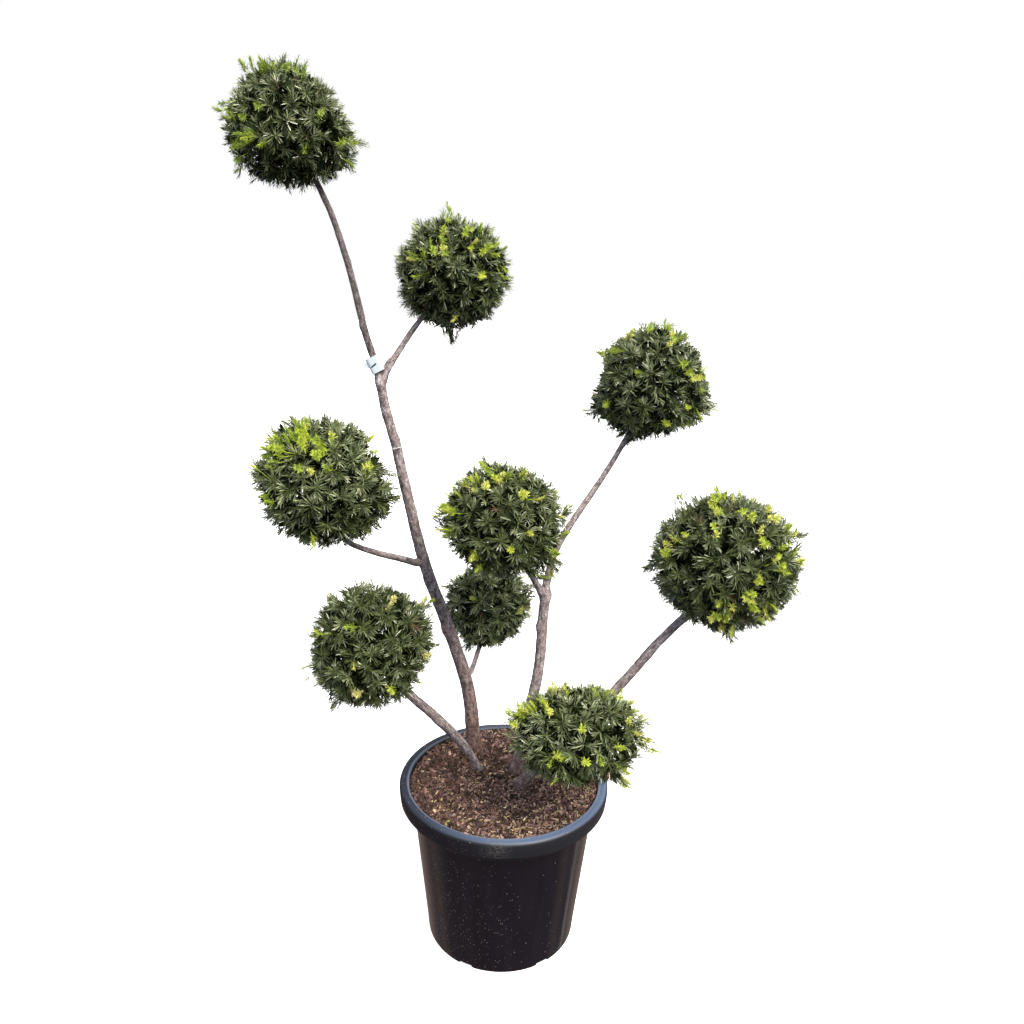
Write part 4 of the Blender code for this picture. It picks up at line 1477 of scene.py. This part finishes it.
def joined(name, meshes):
    """Several meshes as one, each face keeping the material it had."""
    materials = list(dict.fromkeys(material for mesh in meshes for material in mesh.materials
                                   if material))
    bm = bmesh.new()
    for mesh in meshes:
        own = np.zeros(len(mesh.polygons), dtype=np.int32)
        mesh.polygons.foreach_get("material_index", own)
        places = [materials.index(material) if material else 0 for material in mesh.materials]
        mesh.polygons.foreach_set("material_index", np.array(places, dtype=np.int32)[own])
        bm.from_mesh(mesh)
    made = mesh_of(name, bm)
    for material in materials:
        made.materials.append(material)
    return made


# %% Foliage: the finishes
OLD_GREENS = ("#505a33", "#5f693f", "#78815a", "#3a4326", "#9ba27a", "#1a2010", "#6f5a40",
              "#3a4429")
OLD_SHARES = (0.27, 0.27, 0.20, 0.16, 0.10)
# How many of the shoots are painted paler, as painted sunlight on the side that faces up, how far
# down the ball that reaches, as the least upward share of their direction, and how many of those
# take the palest green.
PAINTED_SUNLIGHT = {"top": (1.00, -0.40, 0.7), "upper": (0.85, -0.15, 0.6), "left": (0.85, -0.05, 0.5),
            "right_upper": (0.85, -0.10, 0.5), "centre": (0.70, 0.10, 0.5),
            "front": (0.75, 0.10, 0.5), "back": (1.00, -0.80, 0.8),
            "lower_left": (0.05, 0.30, 0.5), "right": (0.35, 0.20, 0.5)}
# The inner shoots are painted near black, as painted shade deep inside the ball.
INNER_TINT = 5
RUSSET_TINT = 6
RUSSET_SHARE = 0.012
# In the thinner crown of some balls light reaches this share of the inner shoots.
LIT_INNER_TINT = 7
LIT_INSIDE = {"top": 0.65, "back": 0.35, "upper": 0.15}
YOUNG_GREENS = ("#bbc94c", "#a4b742", "#d2d66b", "#92a641", "#e2dc92")


def needle_finishes():
    """Mature yew needles: a waxy skin, so a broad soft shine over a very dark green."""
    made = [finish_of("waxy_yew_needle_%d" % number, colour, 0.27, Specular_IOR_Level=0.85)
            for number, colour in enumerate(OLD_GREENS)]
    # Inside the ball the needles are matt and dark, as painted shade.
    for tint, name in ((INNER_TINT, "sooty_inner_needle"), (LIT_INNER_TINT, "dull_inner_needle")):
        made[tint] = finish_of(name, OLD_GREENS[tint], 0.9, Specular_IOR_Level=0.05)
    return made


def young_finishes():
    """This year's growth: thin, soft and yellow-green, with less wax and so less shine."""
    return [finish_of("soft_young_needle_%d" % number, colour, 0.55, Specular_IOR_Level=0.3)
            for number, colour in enumerate(YOUNG_GREENS)]


def twig_finishes():
    """Brown twig bark, the green skin of last year's shoots, and the lime of this year's."""
    return [finish_of("brown_twig_bark", "#54433a", 0.8, Specular_IOR_Level=0.3),
            finish_of("green_shoot_skin", "#4a5527", 0.6, Specular_IOR_Level=0.3),
            finish_of("lime_shoot_skin", "#a9bf3c", 0.6, Specular_IOR_Level=0.3)]


old_shapes = shape_set("old_needle", [needle_mesh(0.076, bend) for bend in (-0.16, 0.05, 0.22)])
shade_shapes = shape_set("shade_needle", [needle_mesh(0.27, bend) for bend in (-0.1, 0.05, 0.2)])
young_shapes = shape_set("young_needle", [needle_mesh(0.110, bend) for bend in (-0.18, 0.0, 0.22)])
needle_skins = needle_finishes()
old_tree = needle_tree("lay_old_needles", old_shapes, needle_skins)
shade_tree = needle_tree("lay_shade_needles", shade_shapes, needle_skins)
young_tree = needle_tree("lay_young_needles", young_shapes, young_finishes())
skin_tree = twig_tree("skin_twigs", twig_finishes())

# %% [markdown]
# New growth breaks in tufts, more of it on the sunny side. The tufts that face the front are listed
# for each ball, as a clock bearing, how far out from the middle the tuft sits, and how many stars
# of young needles it has. The sides, the top and the back are filled by the same kind of tuft at
# random.

# %% Foliage: where young growth breaks
# Bearing in degrees from the right, counted upwards; share of the radius; number of stars.
YOUNG_TUFTS = {
    "top": ((128, 1.0, 2), (115, 0.9, 2), (102, 0.9, 1), (88, 0.85, 2), (72, 0.85, 1),
            (166, 0.9, 3), (173, 0.68, 1), (151, 0.45, 1), (-163, 0.6, 3), (-146, 0.45, 1),
            (-157, 0.8, 2), (-140, 0.95, 1), (-13, 0.7, 1), (-12, 0.95, 1), (-59, 0.4, 1),
            (24, 0.5, 1), (-30, 0.9, 1)),
    "upper": ((95, 1.0, 2), (101, 0.75, 2), (108, 0.6, 1), (126, 0.6, 1), (146, 0.6, 2),
              (132, 0.45, 2), (164, 0.75, 2), (111, 0.3, 1), (58, 0.9, 2), (68, 0.7, 2),
              (53, 0.65, 1), (50, 0.5, 1), (34, 0.6, 2), (32, 0.8, 2), (22, 0.75, 1),
              (25, 0.95, 1), (3, 0.9, 2), (-4, 0.45, 1), (130, 1.0, 1), (-90, 0.7, 1),
              (-173, 0.6, 1)),
    "right_upper": ((115, 0.9, 2), (94, 0.85, 1), (81, 0.95, 2), (70, 0.85, 2), (60, 0.9, 2),
                    (67, 0.65, 1), (148, 0.9, 3), (140, 0.8, 1), (34, 0.6, 1), (18, 0.65, 1),
                    (9, 0.75, 2), (19, 0.85, 1), (-3, 0.8, 1), (-18, 1.0, 2), (-31, 0.9, 1),
                    (-28, 0.7, 1), (-44, 0.9, 2), (-156, 1.0, 1), (-152, 0.75, 1), (142, 0.3, 1),
                    (-63, 0.65, 1)),
    "left": ((137, 0.9, 2), (125, 0.8, 3), (109, 0.85, 3), (118, 0.65, 3), (156, 0.85, 3),
             (143, 0.7, 3), (102, 0.55, 3), (106, 0.35, 2), (92, 0.2, 1), (81, 0.65, 1),
             (20, 0.7, 1), (15, 0.9, 2), (-162, 0.8, 1), (-103, 0.85, 1)),
    "centre": ((109, 0.95, 2), (104, 0.8, 2), (119, 0.85, 2), (87, 0.8, 1), (133, 0.85, 2),
               (111, 0.6, 1), (131, 0.65, 1), (64, 0.85, 2), (79, 0.8, 1), (148, 0.85, 1),
               (51, 0.5, 2), (30, 0.7, 1), (164, 0.9, 3), (168, 0.75, 2), (177, 0.95, 3),
               (-164, 0.9, 3), (13, 1.0, 2), (5, 0.9, 1), (-66, 0.45, 1), (-122, 0.7, 2),
               (-28, 0.9, 2), (-27, 1.0, 1), (-45, 1.0, 3), (-54, 1.0, 1), (-21, 0.5, 1)),
    "right": ((101, 0.95, 3), (88, 0.9, 1), (105, 0.7, 2), (109, 0.8, 1), (130, 1.0, 1),
              (112, 0.5, 1), (148, 0.6, 1), (172, 0.75, 2), (39, 0.55, 2), (59, 0.9, 1),
              (66, 0.7, 1), (46, 0.9, 2), (30, 0.95, 3), (23, 0.75, 1), (15, 0.65, 1),
              (9, 0.95, 1), (-2, 0.7, 1), (-16, 0.45, 1), (-52, 0.5, 4), (-49, 0.65, 2),
              (-46, 0.85, 3), (-90, 0.65, 3), (-82, 0.9, 3)),
    "back": ((155, 0.4, 1), (41, 1.0, 1), (-5, 0.7, 1)),
    "lower_left": ((128, 1.0, 1), (62, 0.75, 2), (39, 1.0, 3), (162, 0.75, 1), (137, 0.4, 1),
                   (-10, 0.9, 1), (-129, 0.4, 1), (-155, 1.0, 4), (-106, 0.75, 2), (-65, 0.7, 2),
                   (-124, 1.0, 1)),
    "front": ((164, 1.0, 3), (163, 0.9, 3), (174, 0.9, 2), (150, 0.85, 3), (140, 0.8, 2),
              (144, 0.6, 1), (119, 0.95, 2), (106, 0.9, 1), (69, 0.9, 2), (47, 1.0, 2),
              (33, 1.0, 2), (16, 1.0, 2), (20, 0.85, 1), (40, 0.1, 1), (-8, 1.0, 4),
              (-13, 0.7, 1), (4, 0.9, 1), (-119, 0.45, 2), (-130, 0.6, 1), (-45, 0.55, 1),
              (-67, 0.45, 1), (-124, 1.0, 1), (-114, 0.85, 1), (-33, 0.9, 2), (-41, 1.0, 4)),
}
# The share of the hidden sides that young growth covers, and which of its colours it takes.
YOUNG_HABIT = {
    "top": (0.03, (0.1, 0.4, 0.0, 0.5, 0.0)),
    "upper": (0.07, (0.3, 0.4, 0.1, 0.2, 0.0)),
    "right_upper": (0.09, (0.4, 0.3, 0.2, 0.1, 0.0)),
    "left": (0.09, (0.4, 0.4, 0.1, 0.1, 0.0)),
    "centre": (0.09, (0.4, 0.2, 0.3, 0.1, 0.0)),
    "right": (0.08, (0.5, 0.2, 0.3, 0.0, 0.0)),
    "back": (0.02, (0.2, 0.2, 0.4, 0.2, 0.0)),
    "lower_left": (0.03, (0.1, 0.1, 0.3, 0.1, 0.4)),
    "front": (0.09, (0.5, 0.2, 0.3, 0.0, 0.0)),
}
# How much fuller than the table the tufts of each ball are.
STAR_FULLNESS = {"top": 1.45, "upper": 1.2, "right_upper": 1.2, "left": 2.0, "right": 1.6,
                 "back": 1.2, "lower_left": 1.2, "front": 1.3, "centre": 1.45}
STAR_COVER = 0.026         # how much of the surface one star takes, across
STAR_REACH = 0.012         # how near a star the old shoots stop short
STAR_SETBACK = 0.012       # and by how much


def tuft_ways(ball, rng):
    """One direction for every star of young needles on a ball."""
    ways = []
    for bearing, out, stars in YOUNG_TUFTS[ball.name]:
        middle = ball.facing(bearing, out)
        for star in range(round(stars * STAR_FULLNESS[ball.name])):
            shake = Vector(rng.normal(0, 0.045 + 0.016 * stars, 3)) if star else Vector()
            ways.append((middle + shake).normalized())
    share = YOUNG_HABIT[ball.name][0]
    # The front is given in the table, and the underside gets no light.
    for way in even_directions(int(share * tips_for(ball, STAR_COVER)), rng, 0.8):
        way = Vector(way)
        if way.dot(ball.sight) < -0.08 and way.z > -0.5:
            ways += [(way + Vector(rng.normal(0, 0.09, 3))).normalized() for _ in range(2)]
    return np.array(ways)


# %% Foliage: one ball
def leafy_end(path, leafy):
    """The last stretch of a shoot, of the given length, as four points for needles."""
    length = np.linalg.norm(np.diff(path, axis=0), axis=1).sum()
    start = max(0.0, 1 - leafy / length)
    last = len(path) - 1
    return along_line(path, np.arange(len(path)), np.linspace(start, 1, 4) * last)


def shoots_of(ball, wood, rng, ways, share, inset, leafy, size):
    """Leafy shoots to the tips at the given directions: points, direction, needle length."""
    shoots = []
    for tip, way in zip(outline_points(ball, ways, share, inset), ways):
        lean = unit(way + rng.normal(0, 0.46, 3) + (0, 0, 0.12))
        path = wood.branch(tip, lean, 5, 0.0006)
        wood.add(path[::2], np.linspace(0.0010, 0.0006, 3), GREEN_SKIN, 3, open_to_twigs=False)
        shoots.append((leafy_end(path, leafy), way, size * rng.uniform(0.86, 1.1)))
    return shoots


def old_tint(name, way, rng):
    """The colour of a mature shoot: a few are russet, and upturned ones take painted sunlight."""
    if rng.random() < RUSSET_SHARE:
        return RUSSET_TINT
    tint = int(rng.choice(len(OLD_SHARES), p=OLD_SHARES))
    share, down_to, palest = PAINTED_SUNLIGHT[name]
    if way[2] > down_to and rng.random() < share:
        return 4 if rng.random() < palest else 2
    # Shoots that hang below get the darker tints in place of the pale ones, as painted shade.
    return 3 if way[2] < -0.35 and tint in (2, 4) else tint


def grow_ball(limb, ball, seed):
    name = ball.name
    rng = np.random.default_rng(seed)
    wood = grow_frame(ball, limb, rng)
    stars = tuft_ways(ball, rng)
    needle = NEEDLE * NEEDLE_SHARE.get(name, 1.0)
    ways = even_directions(tips_for(ball, SHOOT_GAP), rng, 0.045)
    if name == "top":
        # Little light reaches the underside of the highest ball, and the sky shows through it.
        ways = ways[(ways[:, 2] > -0.55) | (rng.random(len(ways)) < 0.6)]
    # Old shoots stop short where a star of young needles stands over them.
    under_star = (ways @ stars.T).max(axis=1) > math.cos(STAR_REACH / ball.radius)
    inset = OUTLINE_GAP + rng.normal(0, 0.0045, len(ways)) + STAR_SETBACK * under_star
    outer = shoots_of(ball, wood, rng, ways, 1.0, inset, LEAFY_OUTER, needle)
    for bearing, beyond, count in STRAYS[name]:
        loose = np.array([(ball.facing(bearing, 1.0) + Vector(rng.normal(0, 0.05, 3))).normalized()
                          for _ in range(count)])
        stray = -beyond * rng.uniform(0.6, 1.0, count)
        outer += shoots_of(ball, wood, rng, loose, 1.0, stray, LEAFY_STRAY, needle * 0.85)
    inner = []
    for share, gap in INNER_SHELLS:
        inner_ways = even_directions(tips_for(ball, gap, share), rng, 0.1)
        inner += shoots_of(ball, wood, rng, inner_ways, share, 0.0, LEAFY_INNER, NEEDLE * 1.10)
    old = [(leafy, {"tint": old_tint(name, way, rng), "size": size})
           for leafy, way, size in outer]
    lit = rng.random(len(inner)) < LIT_INSIDE.get(name, 0.0)
    shade = [(leafy, {"tint": LIT_INNER_TINT if bright else INNER_TINT, "size": size})
             for (leafy, _, size), bright in zip(inner, lit)]
    needles = run_tree(old_tree, path_points("shoots", old), per_shoot=31, bare_share=0.02,
                       foot_lean=1.15, tip_lean=0.38, tip_size=0.62, mixed=0.40, seed=seed)
    shaded = run_tree(shade_tree, path_points("shoots", shade), per_shoot=17, bare_share=0.02,
                      foot_lean=1.25, tip_lean=0.6, tip_size=0.8, seed=seed + 1)
    place("needles_" + name, joined("needles", [needles, shaded]), "foliage", ball.node)
    grow_young(ball, wood, rng, stars, seed + 2)
    skin_twigs(wood, name)


def grow_young(ball, wood, rng, stars, seed):
    """Stars of young needles at the ends of their own short shoots."""
    colours = YOUNG_HABIT[ball.name][1]
    tips = outline_points(ball, stars, 1.0, rng.uniform(-0.016, 0.002, len(stars)))
    shoots = []
    for tip, way in zip(tips, stars):
        lean = unit(way + rng.normal(0, 0.30, 3) + (0, 0, 0.15))
        path = wood.branch(tip, lean, 5, 0.0004)
        wood.add(path, np.linspace(0.0009, 0.0006, 5), LIME_SKIN, 3, open_to_twigs=False)
        leafy = leafy_end(path, rng.uniform(0.012, 0.024))
        shoots.append((leafy, {"tint": int(rng.choice(len(YOUNG_GREENS), p=colours)),
                               "size": rng.uniform(0.0090, 0.0128)}))
    mesh = run_tree(young_tree, path_points("shoots", shoots), per_shoot=58, bare_share=0.02,
                    foot_lean=1.25, tip_lean=0.30, tip_size=0.75, seed=seed)
    place("young_needles_" + ball.name, mesh, "foliage")


def skin_twigs(wood, name):
    """The wood of one ball, skinned in one run for each number of sides."""
    meshes = []
    for sides in sorted({path[3] for path in wood.paths}):
        chosen = [(path, {"thick": thick, "tint": tint})
                  for path, thick, tint, path_sides in wood.paths if path_sides == sides]
        meshes.append(run_tree(skin_tree, path_points("paths", chosen), sides=sides))
    place("twigs_" + name, joined("twigs", meshes), "bark")


for number, (limb, name) in enumerate(FEEDS.items()):
    grow_ball(limb, balls[name], 100 + 10 * number)
for shapes in (old_shapes, shade_shapes, young_shapes):
    drop_set(shapes)

# %% [markdown]
# ## Label and tie
#
# A blank loop-lock label sits in the left fork. It is a strip of white film pulled through its
# own slit, so it stands round the leader as a slack oval with its tail sticking out on the left.
# Lower down, a thin pale cord is tied round the stem, with one loose end.

# %% Label: a loop of film with a slit and a tail
LABEL_ACROSS = 0.0142
LABEL_DEEP = 0.0135
LABEL_TALL = 0.034
LABEL_LEAN = 0.12
SLIT_TILT = 0.24
LABEL_STEPS = 72
FILM = 0.0006


def standing_frame(node, limb):
    """The limb at a small solid: a point, its axes (to the right, away, along), its radius."""
    low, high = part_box(node)
    middle = np.array((low + high) / 2)
    line = drawn[limb][0]
    nearest = int(np.linalg.norm(line - middle, axis=1).argmin())
    along = tangents(line)[nearest]
    away = np.array((Vector(middle) - EYE).normalized())
    away = unit(away - along * (away @ along))
    return line[nearest], np.stack([np.cross(away, along), away, along]), drawn[limb][1][nearest]


def label_band(middle, axes):
    """The loop: an upright band whose plan is a rounded square."""
    turn = turns(LABEL_STEPS)
    rows = []
    for inset, height in ((0, -0.5), (0, 0.5), (FILM, 0.5), (FILM, -0.5)):
        across = np.sign(np.cos(turn)) * np.abs(np.cos(turn)) ** 0.45 * (LABEL_ACROSS - inset)
        deep = np.sign(np.sin(turn)) * np.abs(np.sin(turn)) ** 0.45 * (LABEL_DEEP - inset)
        local = np.stack([across, deep, np.full(LABEL_STEPS, height * LABEL_TALL)], axis=1)
        rows.append(middle + local @ axes)
    return grid_mesh("band", np.array(rows), ring=True)


def label_block(middle, axes, centre, size, tilt):
    """A block in the label's own axes, turned about the one that points away."""
    bm = block(size)
    turn_block(bm, -tilt, "Y")
    for vert in bm.verts:
        vert.co = middle + (np.array(vert.co) + centre) @ axes
    return mesh_of("block", bm)


def label_tail(middle, axes):
    """The end that was pulled through, narrowing to a rounded point."""
    near, far = -0.009, -0.009 - FILM
    rows = []
    for out, half in ((-0.004, 0.0070), (0.002, 0.0068), (0.006, 0.0048), (0.0095, 0.0020)):
        rows.append([middle + np.array((-LABEL_ACROSS - out, deep, 0.004 + 0.4 * out + high)) @ axes
                     for deep, high in ((near, half), (near, -half), (far, -half), (far, half))])
    return grid_mesh("tail", np.array(rows))


label_at, label_axes, _ = standing_frame("label", "leader")
# It leans a little more than the leader does, with its right side up.
rightward, away, upward = label_axes
label_axes = np.stack([math.cos(LABEL_LEAN) * rightward + math.sin(LABEL_LEAN) * upward, away,
                       math.cos(LABEL_LEAN) * upward - math.sin(LABEL_LEAN) * rightward])
label_at = label_at - 0.0033 * label_axes[0] - 0.0032 * label_axes[2]
slit = label_block(label_at, label_axes, (-0.004, -LABEL_DEEP, -0.001), (0.015, 0.008, 0.0034),
                   SLIT_TILT)
label_parts = [cut_away(label_band(label_at, label_axes), [slit]),
               label_tail(label_at, label_axes)]
white_film = finish_of("matt_white_label_film", "#b2bdc3", 0.45, Specular_IOR_Level=0.4)
for part in label_parts:
    dress(part, white_film)
label_mesh = joined("label", label_parts)
label_mesh.shade_flat()
place("blank_label", label_mesh, "label_film", "label")

# %% Tie: thin cord round the stem
CORD_RADIUS = 0.0008


def tube_mesh(name, path, radius, sides):
    return grid_mesh(name, path[:, None] + radius * spokes(path, sides))


def tie_path():
    """A bit more than once round the stem, and a loose end that hangs out on the left."""
    middle, axes, radius = standing_frame("tie", "stem_left")
    turn = np.linspace(math.radians(210), math.radians(210 + 395), 60)
    out = radius + 0.0012
    wrap = np.stack([np.cos(turn) * out, np.sin(turn) * out,
                     np.linspace(0.0016, -0.0012, 60)], axis=1)
    reach = np.linspace(1, 0, 8)[:-1, None]
    loose = wrap[0] + reach * (-0.008, -0.003, 0.007) + reach ** 2 * (-0.002, 0.0, -0.003)
    return middle + np.concatenate([loose, wrap]) @ axes


tie_mesh = tube_mesh("tie", tie_path(), CORD_RADIUS, 8)
dress(tie_mesh, finish_of("pale_twisted_cord", "#d5d2cc", 0.7))
place("pale_tie", tie_mesh, "label_film", "tie")

# %% [markdown]
# ## Size
#
# The looks reach past the plain solids by no more than part of a needle, so both boxes are
# printed.

# %% Size
VISUAL_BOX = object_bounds()
for label, (low, high) in (("solids", CAD_BOX), ("looks", VISUAL_BOX)):
    print("%-7s x %.3f to %.3f, y %.3f to %.3f, z %.3f to %.3f m" % (
        label, low[0], high[0], low[1], high[1], low[2], high[2]))
